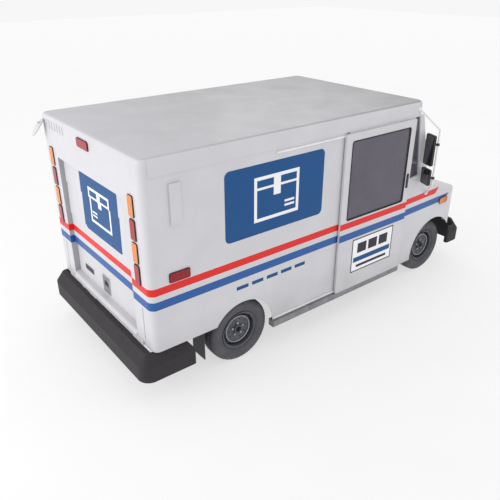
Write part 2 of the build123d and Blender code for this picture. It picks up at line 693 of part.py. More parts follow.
def make_hood():
    """The hood: a sloping lid with a rounded shoulder that drops onto the fenders."""
    foot = 0.5
    with BuildPart() as hood:
        with BuildSketch(Plane.XY.offset(900)):
            front_outline(0)
        extrude(amount=400)
        with BuildSketch(Plane.XZ.offset(-BODY_HALF_W - 5)):
            with BuildLine():
                Polyline(
                    (HOOD_REAR_X + 2, BELT_Z + foot),
                    (FRONT_X + 5, HOOD_FOOT_FRONT_Z + foot),
                    (FRONT_X + 5, HOOD_FOOT_FRONT_Z + HOOD_RISE),
                    (HOOD_REAR_X + 2, BELT_Z + HOOD_RISE),
                    close=True,
                )
            make_face()
        extrude(amount=2 * BODY_HALF_W + 10, mode=Mode.INTERSECT)
        top = hood.faces().filter_by(lambda f: f.normal_at().Z > 0.9)[0]
        fillet(top.edges().filter_by(lambda e: e.center().X > HOOD_REAR_X + 10), 30)
        with BuildSketch(Plane.XZ.offset(-BODY_HALF_W + 50)):
            with BuildLine():
                Polyline(
                    (HOOD_REAR_X + 1, BELT_Z),
                    (FRONT_X - 45, HOOD_FOOT_FRONT_Z),
                    (FRONT_X - 45, HOOD_FOOT_FRONT_Z + HOOD_RISE - 4),
                    (HOOD_REAR_X + 1, BELT_Z + HOOD_RISE - 5),
                    close=True,
                )
            make_face()
        extrude(amount=2 * BODY_HALF_W - 100, mode=Mode.SUBTRACT)
        for y in (-500, 500):
            block(HOOD_REAR_X + 2, HOOD_REAR_X + 60, y - 20, y + 20, BELT_Z + foot, BELT_Z + HOOD_RISE - 14)
    return hood


def make_grille():
    """The front panel: lamp pockets at the sides and slots in the middle."""
    x0 = FRONT_X - 4
    with BuildPart() as grille:
        block(x0, x0 + 24, -GRILLE_HALF_W, GRILLE_HALF_W, FRONT_FOOT_Z, HOOD_FOOT_FRONT_Z - 1)
        fillet(grille.edges().filter_by(Axis.X), 12)
        for row in range(7):
            z = 640 + row * 40
            block(x0 - 1, x0 + 25, -500, 500, z, z + 22, Mode.SUBTRACT)
        for y in (-250, 0, 250):
            block(x0, x0 + 20, y - 8, y + 8, 630, 920)
        for side in (-1, 1):
            block(x0 - 1, x0 + 25, side * 570, side * 770, 740, 890, Mode.SUBTRACT)
            block(x0 - 1, x0 + 25, side * 570, side * 770, 640, 700, Mode.SUBTRACT)
        both_sides(x0 - 116, x0 + 1, RAIL_IN_Y + 21, RAIL_IN_Y + 27, FLOOR_Z, FRONT_FOOT_Z + 20)
    return grille


def make_headlamps():
    x0 = FRONT_X - 4
    with BuildPart() as lamps:
        for side in (-1, 1):
            block(x0 - 60, x0 + 22, side * 570.4, side * 769.6, 740.4, 889.6)
            block(x0 + 21, x0 + 28, side * 578, side * 762, 748, 882)
    return lamps


SIDE_LAMP_Z = 909


def make_amber_lamps():
    with BuildPart() as lamps:
        x0 = FRONT_X - 4
        for side in (-1, 1):
            block(x0, x0 + 26, side * 570.4, side * 769.6, 640.4, 699.6)
            for z in (1284, 1674):
                block(BODY_REAR_X - 12, BODY_REAR_X, side * 749, side * 825, z, z + 172)
        fillet(lamps.edges().filter_by(Axis.X).filter_by(lambda e: e.center().X < 0), 14)
        for side in (-1, 1):
            lean = atan((BODY_HALF_W - FRONT_HALF_W) / (FRONT_X - POST_FRONT_X))
            x = REAR_AXLE_X + 2960
            y = BODY_HALF_W - (x - POST_FRONT_X) * tan(lean)
            seat = Plane(
                origin=(x, side * y, SIDE_LAMP_Z),
                x_dir=(cos(lean), -side * sin(lean), 0),
                z_dir=(sin(lean), side * cos(lean), 0),
            )
            with Locations(seat.offset(6)):
                Box(160, 76, 12)
        ends = lamps.edges().filter_by(lambda e: abs(e.length - 12) < 0.1)
        fillet(ends.filter_by(lambda e: abs(e.center().Z - SIDE_LAMP_Z) < 50), 32)
    return lamps


def make_red_lamps():
    with BuildPart() as lamps:
        for side in (-1, 1):
            for z in (1095, 1479):
                block(BODY_REAR_X - 12, BODY_REAR_X, side * 749, side * 825, z, z + 170)
        block(BODY_REAR_X - 14, BODY_REAR_X, -105, 105, 2010, 2084)
        fillet(lamps.edges().filter_by(Axis.X), 14)
        for side in (-1, 1):
            block(REAR_AXLE_X - 728, REAR_AXLE_X - 540, side * BODY_HALF_W, side * (BODY_HALF_W + 12), 1113, 1194)
        fillet(lamps.edges().filter_by(Axis.Y).filter_by(lambda e: abs(e.center().Y) > BODY_HALF_W), 14)
    return lamps


def make_bumper(outer_x, back_x, end_x, half_w, arm_w, z0, ridge_z, z1):
    """A moulded bumper that wraps the corner: upright face, then a top that slopes in."""
    forward = 1 if outer_x > back_x else -1
    lean = degrees(atan(0.7))
    with BuildPart() as bumper:
        for z, height, taper in ((z0, ridge_z - z0, 0), (ridge_z, z1 - ridge_z, lean)):
            with BuildSketch(Plane.XY.offset(z)):
                with Locations(((outer_x + end_x) / 2, 0)):
                    Rectangle(abs(outer_x - end_x), 2 * half_w)
                fillet(vertices_at(outer_x), 110)
                fillet(vertices_at(end_x), 20)
            extrude(amount=height, taper=taper)
        block(
            back_x,
            end_x - forward * 5,
            -half_w + arm_w,
            half_w - arm_w,
            z0 - 1,
            z1 + 1,
            Mode.SUBTRACT,
        )
        block(
            outer_x - forward * 22,
            back_x + forward * 14,
            -half_w + arm_w + 30,
            half_w - arm_w - 30,
            z0 - 1,
            ridge_z - 20,
            Mode.SUBTRACT,
        )
    return bumper


def make_front_bumper():
    """The front bumper, drilled with the four screw holes of a number plate."""
    end_x = REAR_AXLE_X + 3153
    bumper = make_bumper(BUMPER_FRONT_X, FRONT_BUMPER_SEAT_X, end_x, 950, 45, 300, 440, FRONT_FOOT_Z - 4)
    with bumper:
        for y in (-PLATE_PITCH_Y / 2, PLATE_PITCH_Y / 2):
            for z in (PLATE_Z - PLATE_PITCH_Z / 2, PLATE_Z + PLATE_PITCH_Z / 2):
                rod((BUMPER_FRONT_X + 5, y, z), (BUMPER_FRONT_X - 30, y, z), PLATE_HOLE_R, Mode.SUBTRACT)
    return bumper


def make_running_boards():
    """The two steps between the wheels, and the mud flaps behind the rear wheels."""
    with BuildPart() as boards:
        for side in (-1, 1):
            block(REAR_AXLE_X + 338, DOOR_FRONT_X + 10, side * 905, side * 981, 252, SKIRT_Z - GAP / 2)
        fillet(boards.edges().filter_by(Axis.X).group_by(Axis.Z)[0], 12)
        for side in (-1, 1):
            for offset in (500, 1100, 1700):
                x = REAR_AXLE_X + offset
                block(x, x + 40, side * 905, side * 915, SKIRT_Z - 40, 389)
            block(REAR_AXLE_X - 412, REAR_AXLE_X - 404, side * 725, side * 915, 190, FLOOR_Z)
    return boards


def make_floor_pan():
    """Cargo floor with wheel houses, cab floor and the step wells at the doors."""
    half = BODY_HALF_W - SKIN - RIB_DEPTH - 1
    top = FLOOR_Z + FLOOR_T
    house_in = REAR_TYRE_OUT_Y - TYRE_W - 50
    cab_half = 705
    x1 = BULKHEAD_X
    with BuildPart() as floor:
        block(CAP_SEAM_X, x1 + BULKHEAD_T, -half, half, FLOOR_Z, top)
        both_sides(REAR_AXLE_X - 395, REAR_AXLE_X + 395, house_in, half, top - 1, WHEEL_HOUSE_TOP_Z)
        both_sides(REAR_AXLE_X - 385, REAR_AXLE_X + 385, house_in + 10, half + 1, FLOOR_Z - 1, WHEEL_HOUSE_TOP_Z - 10, Mode.SUBTRACT)
        block(x1 + BULKHEAD_T - 1, FIREWALL_X + 4, -cab_half, cab_half, FLOOR_Z, FLOOR_Z + CAB_FLOOR_T)
        for side in (-1, 1):
            block(x1 + BULKHEAD_T - 4, POST_FRONT_X, side * (cab_half - 5), side * cab_half, 390, FLOOR_Z + 1)
            block(x1 + BULKHEAD_T - 4, POST_FRONT_X, side * cab_half - side, side * (BODY_HALF_W - 9), 390, 400)
            block(x1 + BULKHEAD_T - 8, x1 + BULKHEAD_T, side * (cab_half - 5), side * half, 390, FLOOR_Z + 1)
            block(POST_FRONT_X - 5, POST_FRONT_X, side * (cab_half - 5), side * (BODY_HALF_W - 9), 390, FLOOR_Z + CAB_FLOOR_T)
            block(POST_FRONT_X - 5, FIREWALL_X + 4, side * (cab_half - 5), side * 860, FLOOR_Z, FLOOR_Z + CAB_FLOOR_T)
            block(x1 + BULKHEAD_T, POST_REAR_X, side * (BODY_HALF_W - 12), side * (BODY_HALF_W - 2), SKIRT_Z, 400)
            block(x1 - 5, x1 + BULKHEAD_T + 1, side * (half - 5), side * (BODY_HALF_W - 2), SKIRT_Z, FLOOR_Z)
            block(x1 + 10, x1 + 40, side * (half - 5), side * (BODY_HALF_W - 2), 390, FLOOR_Z)
    return floor


def make_bulkhead():
    """The partition behind the driver, with a doorway to the mail."""
    half = BODY_HALF_W - SKIN - RIB_DEPTH - 1
    top = FLOOR_Z + FLOOR_T
    with BuildPart() as bulkhead:
        block(BULKHEAD_X, BULKHEAD_X + BULKHEAD_T, -half, half, top, ROOF_BAND_Z)
        block(BULKHEAD_X - 1, BULKHEAD_X + 11, -60, 520, top + 30, 1900, Mode.SUBTRACT)
        block(BULKHEAD_X - 20, BULKHEAD_X + 1, -90, -60, top, ROOF_BAND_Z)
        block(BULKHEAD_X - 20, BULKHEAD_X + 1, 520, 550, top, ROOF_BAND_Z)
        for side in (-1, 1):
            x = BULKHEAD_X
            block(x, x + 35, side * (half - 1), side * BODY_HALF_W, FLOOR_Z + FLOOR_T, ROOF_BAND_Z)
    return bulkhead


def make_door_tracks():
    """Rails on the body sides for the doors, and side channels for the rear door."""
    x0 = DOOR_REAR_X - DOOR_TRAVEL - 10
    with BuildPart() as tracks:
        for side in (-1, 1):
            block(x0, POST_FRONT_X, side * BODY_HALF_W, side * (BODY_HALF_W + DOOR_RAIL_T), 1962, 1976)
            block(BULKHEAD_X + 35, POST_REAR_X, side * (BODY_HALF_W - 20), side * BODY_HALF_W, 1962, ROOF_BAND_Z)
            block(x0, POST_FRONT_X - 2, side * BODY_HALF_W, side * (BODY_HALF_W + DOOR_RAIL_T), 340, 352)
            inner = REAR_DOOR_HALF_W
            block(CAP_SEAM_X, CAP_SEAM_X + 30, side * inner, side * (inner + 25), FLOOR_Z + FLOOR_T, HEIGHT - 60)
    return tracks


def make_door(side):
    """A sliding door: a pressed skin with a window and two rollers over the rail."""
    inner = BODY_HALF_W + DOOR_RAIL_T + GAP
    with BuildPart() as door:
        block(DOOR_REAR_X, DOOR_FRONT_X, side * inner, side * (inner + DOOR_T), DOOR_FOOT_Z, DOOR_TOP_Z)
        fillet(door.edges().filter_by(Axis.Y), 18)
        block(
            DOOR_WINDOW_REAR_X,
            DOOR_WINDOW_FRONT_X,
            side * (inner - 1),
            side * (inner + DOOR_T + 1),
            DOOR_WINDOW_FOOT_Z,
            DOOR_WINDOW_TOP_Z,
            Mode.SUBTRACT,
        )
        fillet(door.edges().filter_by(Axis.Y).filter_by(inside_window), 22)
        block(
            DOOR_REAR_X + 40,
            DOOR_FRONT_X - 40,
            side * (inner - 1),
            side * (inner + DOOR_T - 5),
            DOOR_FOOT_Z + 40,
            DOOR_WINDOW_FOOT_Z - 40,
            Mode.SUBTRACT,
        )
        for x in (DOOR_REAR_X + 40, DOOR_FRONT_X - 60):
            rod((x, side * (inner - 9), 1976 + SEAT_GAP + 4.5), (x, side * (inner + 1), 1976 + SEAT_GAP + 4.5), 4.5)
        handle = DOOR_FRONT_X - 45
        block(handle - 12, handle + 12, side * (inner + DOOR_T - 1), side * (inner + DOOR_T + 12), 1270, 1420)
        block(handle - 13, handle + 4, side * (inner + DOOR_T), side * (inner + DOOR_T + 6), 1290, 1400, Mode.SUBTRACT)
    return door


def inside_window(edge):
    """Whether an edge lies within the sliding door's window."""
    x = edge.center().X
    return DOOR_REAR_X + 30 < x < DOOR_FRONT_X - 30


def make_door_glass(side):
    inner = BODY_HALF_W + DOOR_RAIL_T + GAP + 10
    with BuildPart() as glass:
        block(
            DOOR_WINDOW_REAR_X + SEAT_GAP,
            DOOR_WINDOW_FRONT_X - SEAT_GAP,
            side * inner,
            side * (inner + GLASS_T),
            DOOR_WINDOW_FOOT_Z + SEAT_GAP,
            DOOR_WINDOW_TOP_Z - SEAT_GAP,
        )
        fillet(glass.edges().filter_by(Axis.Y), 22)
    return glass


# ---------------------------------------------------------------- rear door
SECTION_PITCH = SECTION_T + GAP
SECTION_LEAN = atan(SECTION_PITCH / (SECTION_FOOT_Z[1] - SECTION_FOOT_Z[0]))


def make_rear_section(index):
    """One section of the rear door, leaning a little so that it passes behind the next."""
    foot = SECTION_FOOT_Z[index] + (SEAT_GAP if index == 0 else 0)
    tops = SECTION_FOOT_Z[1:] + [REAR_DOOR_TOP_Z]
    head = tops[index] + SECTION_LAP
    x = BODY_REAR_X + REAR_DOOR_RECESS
    run = (head - foot) * tan(SECTION_LEAN)
    half = REAR_DOOR_HALF_W - 2
    if index == 0:
        x += LATCH_SECTION_INSET
    with BuildPart() as section:
        with BuildSketch(Plane.XZ.offset(-half)):
            with BuildLine():
                Polyline(
                    (x, foot),
                    (x + SECTION_T, foot),
                    (x + SECTION_T + run, head),
                    (x + run, head),
                    close=True,
                )
            make_face()
        extrude(amount=2 * half)
        if index == 0:
            block(x - 4, x + SECTION_T / 2, 302, 486, 678, 732)
            block(x - PLATE_PROUD, x + SECTION_T / 2, LATCH_Y - 69, LATCH_Y + 69, LATCH_Z - 89, LATCH_Z + 89)
            cup_floor = x - PLATE_PROUD + CUP_DEPTH
            rod((x, LATCH_Y, LATCH_Z), (cup_floor + 4, LATCH_Y, LATCH_Z), CUP_R + 4)
            rod((x - 20, LATCH_Y, LATCH_Z), (cup_floor, LATCH_Y, LATCH_Z), CUP_R, Mode.SUBTRACT)
    return section


def make_rear_door_latch():
    """A turning handle that lies inside the cup of the lowest section."""
    face = BODY_REAR_X + REAR_DOOR_RECESS + LATCH_SECTION_INSET - PLATE_PROUD
    with BuildPart() as latch:
        rod((face + 2, LATCH_Y, LATCH_Z), (face + CUP_DEPTH - SEAT_GAP, LATCH_Y, LATCH_Z), 16)
        block(face + 1, face + 11, LATCH_Y - 42, LATCH_Y + 42, LATCH_Z - 11, LATCH_Z + 11)
        fillet(latch.edges().filter_by(Axis.X).group_by(Axis.Y)[0], 6)
        fillet(latch.edges().filter_by(Axis.X).group_by(Axis.Y)[-1], 6)
    return latch

# ---------------------------------------------------------------- cab interior
def column_point(distance):
    """A point on the steering column's axis, forward of the wheel's hub."""
    tilt = radians(COLUMN_TILT)
    return (WHEEL_HUB_X + distance * cos(tilt), DRIVER_Y, WHEEL_HUB_Z - distance * sin(tilt))


def make_dashboard():
    """Dashboard, mail tray on the left and the steering column's tube."""
    x0 = FIREWALL_X - 210
    half = BODY_HALF_W - PILLAR_W - 2
    tray_x = REAR_AXLE_X + 1860
    with BuildPart() as dash:
        block(x0, FIREWALL_X, -half, half, 1010, 1115)
        block(x0, FIREWALL_X - 4, -half, half, 1110, 1372)
        block(x0 + 8, FIREWALL_X + 1, -half + 8, half - 8, 1018, 1364, Mode.SUBTRACT)
        block(tray_x, x0 + 1, 20, half, 1010, 1022)
        block(tray_x, tray_x + 10, 20, half, 1010, 1080)
        block(tray_x, x0 + 1, 20, 30, 1010, 1080)
        block(tray_x, x0 + 1, half - 10, half, 1010, 1080)
        rod(column_point(30), column_point(300), 32)
        both_sides_ears(x0)
    return dash


def both_sides_ears(x0):
    """Two ears and a pin under the dashboard that carry the brake pedal."""
    x = x0 + 120
    for y in (DRIVER_Y - 28, DRIVER_Y + 20):
        block(x - 15, x + 15, y, y + 8, 960, 1012)
    rod((x, DRIVER_Y - 28, 975), (x, DRIVER_Y + 28, 975), 6)


def make_brake_pedal():
    x = FIREWALL_X - 210 + 120
    with BuildPart() as pedal:
        rod((x, DRIVER_Y - 18, 975), (x, DRIVER_Y + 18, 975), 13)
        block(x - 8, x + 8, DRIVER_Y - 6, DRIVER_Y + 6, 700, 970)
        block(x - 26, x - 6, DRIVER_Y - 40, DRIVER_Y + 40, 690, 740)
        rod((x, DRIVER_Y - 19, 975), (x, DRIVER_Y + 19, 975), 6 + PIN_FIT, Mode.SUBTRACT)
    return pedal


def make_steering_wheel():
    tilt = radians(COLUMN_TILT)
    along = Vector(cos(tilt), 0, -sin(tilt))
    hub = Plane(origin=column_point(0), x_dir=(0, 1, 0), z_dir=along)
    section = Plane(origin=column_point(0), x_dir=(0, 1, 0), z_dir=(sin(tilt), 0, cos(tilt)))
    with BuildPart() as wheel:
        with BuildSketch(section):
            with Locations((190, 0)):
                Circle(14)
        revolve(axis=Axis(column_point(0), along))
        rod(column_point(-12), column_point(30 - GAP), 34)
        for angle in (15, 165, 270):
            tip = hub.from_local_coords((188 * cos(radians(angle)), 188 * sin(radians(angle)), 0))
            rod(column_point(4), tuple(tip), 9)
    return wheel


def make_gear_lever():
    """The selector lever, on a collar round the steering column."""
    base = column_point(110)
    tilt = radians(COLUMN_TILT)
    with BuildPart() as lever:
        rod(column_point(100), column_point(124), 46)
        end = (base[0] - 30, DRIVER_Y + 200, base[2] + 70)
        rod((base[0] + 3, DRIVER_Y + 38, base[2] + 12), end, 7)
        ball(end, 16)
        rod(column_point(95), column_point(130), 32 + SEAT_GAP, Mode.SUBTRACT)
    return lever


def make_seat_base():
    x0 = SEAT_REAR_X
    floor = FLOOR_Z + CAB_FLOOR_T
    y0 = DRIVER_Y - SEAT_W / 2
    y1 = DRIVER_Y + SEAT_W / 2
    with BuildPart() as base:
        for y in (y0 + 60, y1 - 100):
            block(x0 + 20, x0 + 420, y, y + 40, floor + SEAT_GAP, floor + 24)
        block(x0 + 60, x0 + 380, y0 + 60, y1 - 60, floor + 20, SEAT_Z - 12)
        block(x0 + 66, x0 + 374, y0 + 66, y1 - 66, floor, SEAT_Z - 11, Mode.SUBTRACT)
        block(x0, x0 + 430, y0 + 20, y1 - 20, SEAT_Z - 14, SEAT_Z)
        for y in (y0 + 2, y1 - 10):
            block(x0 - 30, x0 + 30, y, y + 8, SEAT_Z - 12, SEAT_Z + 60)
        rod((x0 - 5, y0 + 2, SEAT_Z + 40), (x0 - 5, y1 - 2, SEAT_Z + 40), 7)
        both = (y0 + 2, y1 - 10)
        for y in both:
            block(x0 - 4, x0 + 30, y, y + 20, SEAT_Z - 14, SEAT_Z - 2)
    return base


def make_seat_cushion():
    x0 = SEAT_REAR_X
    with BuildPart() as cushion:
        block(x0 + 36, x0 + 470, DRIVER_Y - SEAT_W / 2 + 14, DRIVER_Y + SEAT_W / 2 - 14, SEAT_Z + SEAT_GAP, SEAT_Z + 100)
        fillet(cushion.edges().filter_by(Axis.Z), 40)
        fillet(cushion.edges().group_by(Axis.Z)[-1], 30)
    return cushion


def make_seat_back():
    """The reclining backrest, on the pin at the rear of the seat frame."""
    x0 = SEAT_REAR_X
    y0 = DRIVER_Y - SEAT_W / 2 + 14
    y1 = DRIVER_Y + SEAT_W / 2 - 14
    pin_z = SEAT_Z + 40
    with BuildPart() as back:
        block(x0 - 60, x0 + 12, y0, y1, SEAT_Z + 75, SEAT_Z + 640)
        fillet(back.edges().filter_by(Axis.X), 50)
        fillet(back.edges().group_by(Axis.X)[-1], 20)
        for y in (y0 + 4, y1 - 24):
            block(x0 - 22, x0 + 12, y, y + 20, pin_z - 17, SEAT_Z + 100)
        rod((x0 - 5, y0 - 5, pin_z), (x0 - 5, y1 + 5, pin_z), 7 + PIN_FIT, Mode.SUBTRACT)
    return back


# ---------------------------------------------------------------- wipers, mirrors
def make_wiper(pivot_y):
    """An arm and blade parked along the foot of the windshield."""
    lean = atan2(WINDSHIELD_FOOT_X - WINDSHIELD_TOP_X, ROOF_BAND_Z - WINDSHIELD_FOOT_Z)
    up = Vector(-sin(lean), 0, cos(lean))
    out = Vector(cos(lean), 0, sin(lean))
    z = WINDSHIELD_FOOT_Z + 6
    start = Vector(windshield_x(z) - 12, pivot_y, z)
    glass_plane = Plane(origin=start, x_dir=(0, 1, 0), z_dir=out)
    with BuildPart() as wiper:
        with Locations(glass_plane.offset(12)):
            Cylinder(14, 23)
        tip = start + Vector(0, 420, 0) + up * 60 + out * 14
        rod(tuple(start + out * 18), tuple(tip), 5)
        blade = Plane(origin=tip - out * 6, x_dir=(0, 1, 0), z_dir=out)
        with Locations(blade):
            Box(420, 9, 14)
    return wiper


def make_mirror_brackets():
    """The tube arms that carry the mirrors, from the roof corner to the fender."""
    with BuildPart() as brackets:
        for side in (-1, 1):
            band = BODY_HALF_W + ROOF_BAND_PROUD
            top = (REAR_AXLE_X + 2225, side * (band + 9), 2068)
            block(REAR_AXLE_X + 2205, REAR_AXLE_X + 2245, side * band, side * (band + 6), 2048, 2088)
            ball(top, TUBE_R)
            upper = (MIRROR_TUBE_X, side * MIRROR_TUBE_Y, 1860)
            lower = (MIRROR_TUBE_X, side * MIRROR_TUBE_Y, 1280)
            foot = (REAR_AXLE_X + 2560, side * 955, 1098)
            block(REAR_AXLE_X + 2540, REAR_AXLE_X + 2580, side * 938.6, side * 955, 1080, 1116)
            for start, end in ((top, upper), (upper, lower), (lower, foot)):
                rod(start, end, TUBE_R)
            ball(upper, TUBE_R)
            ball(lower, TUBE_R)
            for z in (1700, 1500, 1340):
                rod((MIRROR_TUBE_X, side * MIRROR_TUBE_Y, z - 8), (MIRROR_TUBE_X, side * MIRROR_TUBE_Y, z - 2), 14)
    return brackets


def make_mirror_heads(side):
    """A tall flat mirror above a small round-topped one, each on a collar on the tube."""
    turn = radians(20)
    with BuildPart() as heads:
        for z, height, collar_z in ((1642, 325, 1698), (1355, 176, 1338)):
            centre = Vector(MIRROR_TUBE_X - 24, side * (MIRROR_TUBE_Y - 72), z)
            back = Plane(
                origin=centre,
                x_dir=(sin(turn), -side * cos(turn), 0),
                z_dir=(0, 0, 1),
            )
            with Locations(back):
                Box(150, 22, height)
            fillet(
                heads.edges().filter_by(Axis.Z, reverse=True).filter_by(lambda e: abs(e.length - 22) < 0.01),
                20,
            )
            rod((MIRROR_TUBE_X, side * MIRROR_TUBE_Y, collar_z + SEAT_GAP), (MIRROR_TUBE_X, side * MIRROR_TUBE_Y, collar_z + 24), 17)
            block(MIRROR_TUBE_X - 30, MIRROR_TUBE_X, side * (MIRROR_TUBE_Y - 45), side * (MIRROR_TUBE_Y - 5), collar_z + 6, collar_z + 18)
            rod((MIRROR_TUBE_X, side * MIRROR_TUBE_Y, collar_z - 3), (MIRROR_TUBE_X, side * MIRROR_TUBE_Y, collar_z + 30), TUBE_R + PIN_FIT, Mode.SUBTRACT)
    return heads


# ---------------------------------------------------------------- build and write
os.makedirs("parts", exist_ok=True)

save(make_chassis_frame(), "chassis_frame")
save(make_leaf_springs(), "leaf_springs")
save(make_rear_axle(), "rear_axle")
save(make_driveshaft(), "driveshaft")
save(make_engine(), "engine")
save(make_radiator(), "radiator")
save(make_exhaust(), "exhaust")
save(make_fuel_tank(), "fuel_tank")
for side_name, side in (("right", -1), ("left", 1)):
    save(make_wheel(REAR_AXLE_X, side, REAR_TYRE_OUT_Y), f"rear_wheel_{side_name}")
    save(make_tyre(REAR_AXLE_X, side, REAR_TYRE_OUT_Y), f"rear_tyre_{side_name}")
    save(make_wheel(FRONT_AXLE_X, side, FRONT_TYRE_OUT_Y), f"front_wheel_{side_name}")
    save(make_tyre(FRONT_AXLE_X, side, FRONT_TYRE_OUT_Y), f"front_tyre_{side_name}")
    save(make_carrier(side), f"carrier_{side_name}")
    save(make_knuckle(side), f"knuckle_{side_name}")
    save(make_side_panel(side), f"side_panel_{side_name}")
    save(make_door(side), f"door_{side_name}")
    save(make_door_glass(side), f"door_glass_{side_name}")
    save(make_mirror_heads(side), f"mirror_heads_{side_name}")
save(make_tie_rod(), "tie_rod")
save(make_roof(), "roof")
save(make_rear_frame(), "rear_frame")
save(make_cowl_frame(), "cowl_frame")
save(make_cab_glass(), "cab_glass")
save(make_front_fenders(), "front_fenders")
save(make_hood(), "hood")
save(make_grille(), "grille")
save(make_headlamps(), "headlamps")
save(make_amber_lamps(), "amber_lamps")
save(make_red_lamps(), "red_lamps")
save(
    make_bumper(BUMPER_REAR_X, REAR_BUMPER_SEAT_X, REAR_AXLE_X - 534, 981, 80, 255, 405, SKIRT_REAR_Z - 2),
    "rear_bumper",
)
save(make_front_bumper(), "front_bumper")
save(make_running_boards(), "running_boards")
save(make_floor_pan(), "floor_pan")
save(make_bulkhead(), "bulkhead")
save(make_door_tracks(), "door_tracks")
for index in range(len(SECTION_FOOT_Z)):
    save(make_rear_section(index), f"rear_section_{index + 1}")
save(make_rear_door_latch(), "rear_door_latch")
save(make_dashboard(), "dashboard")
save(make_brake_pedal(), "brake_pedal")
save(make_steering_wheel(), "steering_wheel")
save(make_gear_lever(), "gear_lever")
save(make_seat_base(), "seat_base")
save(make_seat_cushion(), "seat_cushion")
save(make_seat_back(), "seat_back")
save(make_wiper(-620), "wiper_right")
save(make_wiper(60), "wiper_left")
save(make_mirror_brackets(), "mirror_brackets")
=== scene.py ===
# %% [markdown]
# # A mail delivery truck, dressed in Blender
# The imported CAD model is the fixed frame: every panel, wheel and lamp is already in its
# place, in metres. This lesson gives each surface its real finish and adds the pieces
# that CAD leaves out, such as tread, decals, seals, lamp gaskets, wheel nuts and padding.

# %% Load the frame
import math

import bmesh
import bpy
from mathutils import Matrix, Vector


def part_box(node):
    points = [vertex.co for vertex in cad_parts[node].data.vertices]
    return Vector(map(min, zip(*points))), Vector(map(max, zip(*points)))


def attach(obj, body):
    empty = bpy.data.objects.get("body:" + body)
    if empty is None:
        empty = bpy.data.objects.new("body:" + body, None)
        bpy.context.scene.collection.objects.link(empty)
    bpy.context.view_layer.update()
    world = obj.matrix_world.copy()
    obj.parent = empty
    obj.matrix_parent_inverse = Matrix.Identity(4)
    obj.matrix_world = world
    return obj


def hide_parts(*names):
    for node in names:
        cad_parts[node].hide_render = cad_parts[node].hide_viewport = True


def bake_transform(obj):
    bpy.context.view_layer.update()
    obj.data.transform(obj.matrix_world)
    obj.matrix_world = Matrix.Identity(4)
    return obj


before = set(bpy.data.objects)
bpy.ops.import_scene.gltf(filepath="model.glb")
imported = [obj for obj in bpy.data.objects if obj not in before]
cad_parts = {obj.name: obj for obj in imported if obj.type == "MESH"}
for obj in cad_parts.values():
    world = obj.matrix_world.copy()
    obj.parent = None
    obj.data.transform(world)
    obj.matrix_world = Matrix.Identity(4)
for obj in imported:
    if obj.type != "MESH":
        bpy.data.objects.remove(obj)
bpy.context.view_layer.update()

# %% [markdown]
# ## Camera
# The truck is seen from its right rear corner, from above head height, with a normal
# lens. The camera stands where a person on a short ladder would.

# %% Set the camera
TRUCK_YAW = math.radians(52.0)
TRUCK_PITCH = math.radians(-26.7)
camera_data = bpy.data.cameras.new("corner_view")
camera_data.lens = 40.1
camera_data.sensor_width = 36.0
camera_data.clip_end = 200.0
camera = bpy.data.objects.new("corner_view", camera_data)
camera.location = (-3.752, -4.331, 3.313)
look = Vector(
    (
        math.cos(TRUCK_PITCH) * math.cos(TRUCK_YAW),
        math.cos(TRUCK_PITCH) * math.sin(TRUCK_YAW),
        math.sin(TRUCK_PITCH),
    )
)
camera.rotation_euler = look.to_track_quat("-Z", "Y").to_euler()
bpy.context.scene.collection.objects.link(camera)
bpy.context.scene.camera = camera
bpy.context.scene.view_settings.view_transform = "Standard"
print("camera looks along", [round(v, 2) for v in look])

# %% [markdown]
# ## Small tools
# Colours are written as sRGB hex, the way paint charts give them, and turned to the
# linear numbers that a renderer adds up. One function adds any shader node.


# %% Colour and node helpers
def linear(hex_colour):
    """An sRGB hex colour as a linear RGBA tuple."""
    parts = [int(hex_colour[i : i + 2], 16) / 255 for i in (1, 3, 5)]
    return tuple(p / 12.92 if p <= 0.04045 else ((p + 0.055) / 1.055) ** 2.4 for p in parts) + (1.0,)


def add(tree, kind, inputs=None, **settings):
    """Add one node with its settings, then its input values and links."""
    node = tree.nodes.new(kind)
    for name, value in settings.items():
        setattr(node, name, value)
    for name, value in (inputs or {}).items():
        if isinstance(value, bpy.types.NodeSocket):
            tree.links.new(value, node.inputs[name])
        else:
            node.inputs[name].default_value = value
    return node


def start_finish(name, **constants):
    """A new material and its shader, with the constant values set on the sockets."""
    material = bpy.data.materials.new(name)
    material.use_nodes = True
    tree = material.node_tree
    shader = tree.nodes["Principled BSDF"]
    for socket, value in constants.items():
        shader.inputs[socket.replace("_", " ")].default_value = value
    return material, tree, shader


def place_of(tree):
    """Object coordinates, which are metres in the truck's own frame, and their parts."""
    coords = add(tree, "ShaderNodeTexCoord")
    split = add(tree, "ShaderNodeSeparateXYZ", {"Vector": coords.outputs["Object"]})
    return coords, split.outputs["X"], split.outputs["Y"], split.outputs["Z"]


def blend_colours(tree, factor, first, second):
    """One colour over another, by a factor that may be a number or a socket."""
    return add(tree, "ShaderNodeMix", {0: factor, 6: first, 7: second}, data_type="RGBA").outputs[2]


def sum_of(tree, operation, first, second, third=0.0):
    return add(tree, "ShaderNodeMath", {0: first, 1: second, 2: third}, operation=operation).outputs[0]


def dress(node, *finishes):
    """Give a CAD node its finish."""
    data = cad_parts[node].data
    data.materials.clear()
    for finish in finishes:
        data.materials.append(finish)


print("tools ready")

# %% [markdown]
# ## Floor and light
# A pale lit floor under a big soft sky keeps shadows faint. Three large area lamps
# give the long sheen on the enamel.

# %% Build the studio
world = bpy.data.worlds.new("soft_studio")
world.use_nodes = True
world.node_tree.nodes["Background"].inputs["Color"].default_value = (1.0, 1.0, 1.0, 1.0)
world.node_tree.nodes["Background"].inputs["Strength"].default_value = 0.93
bpy.context.scene.world = world

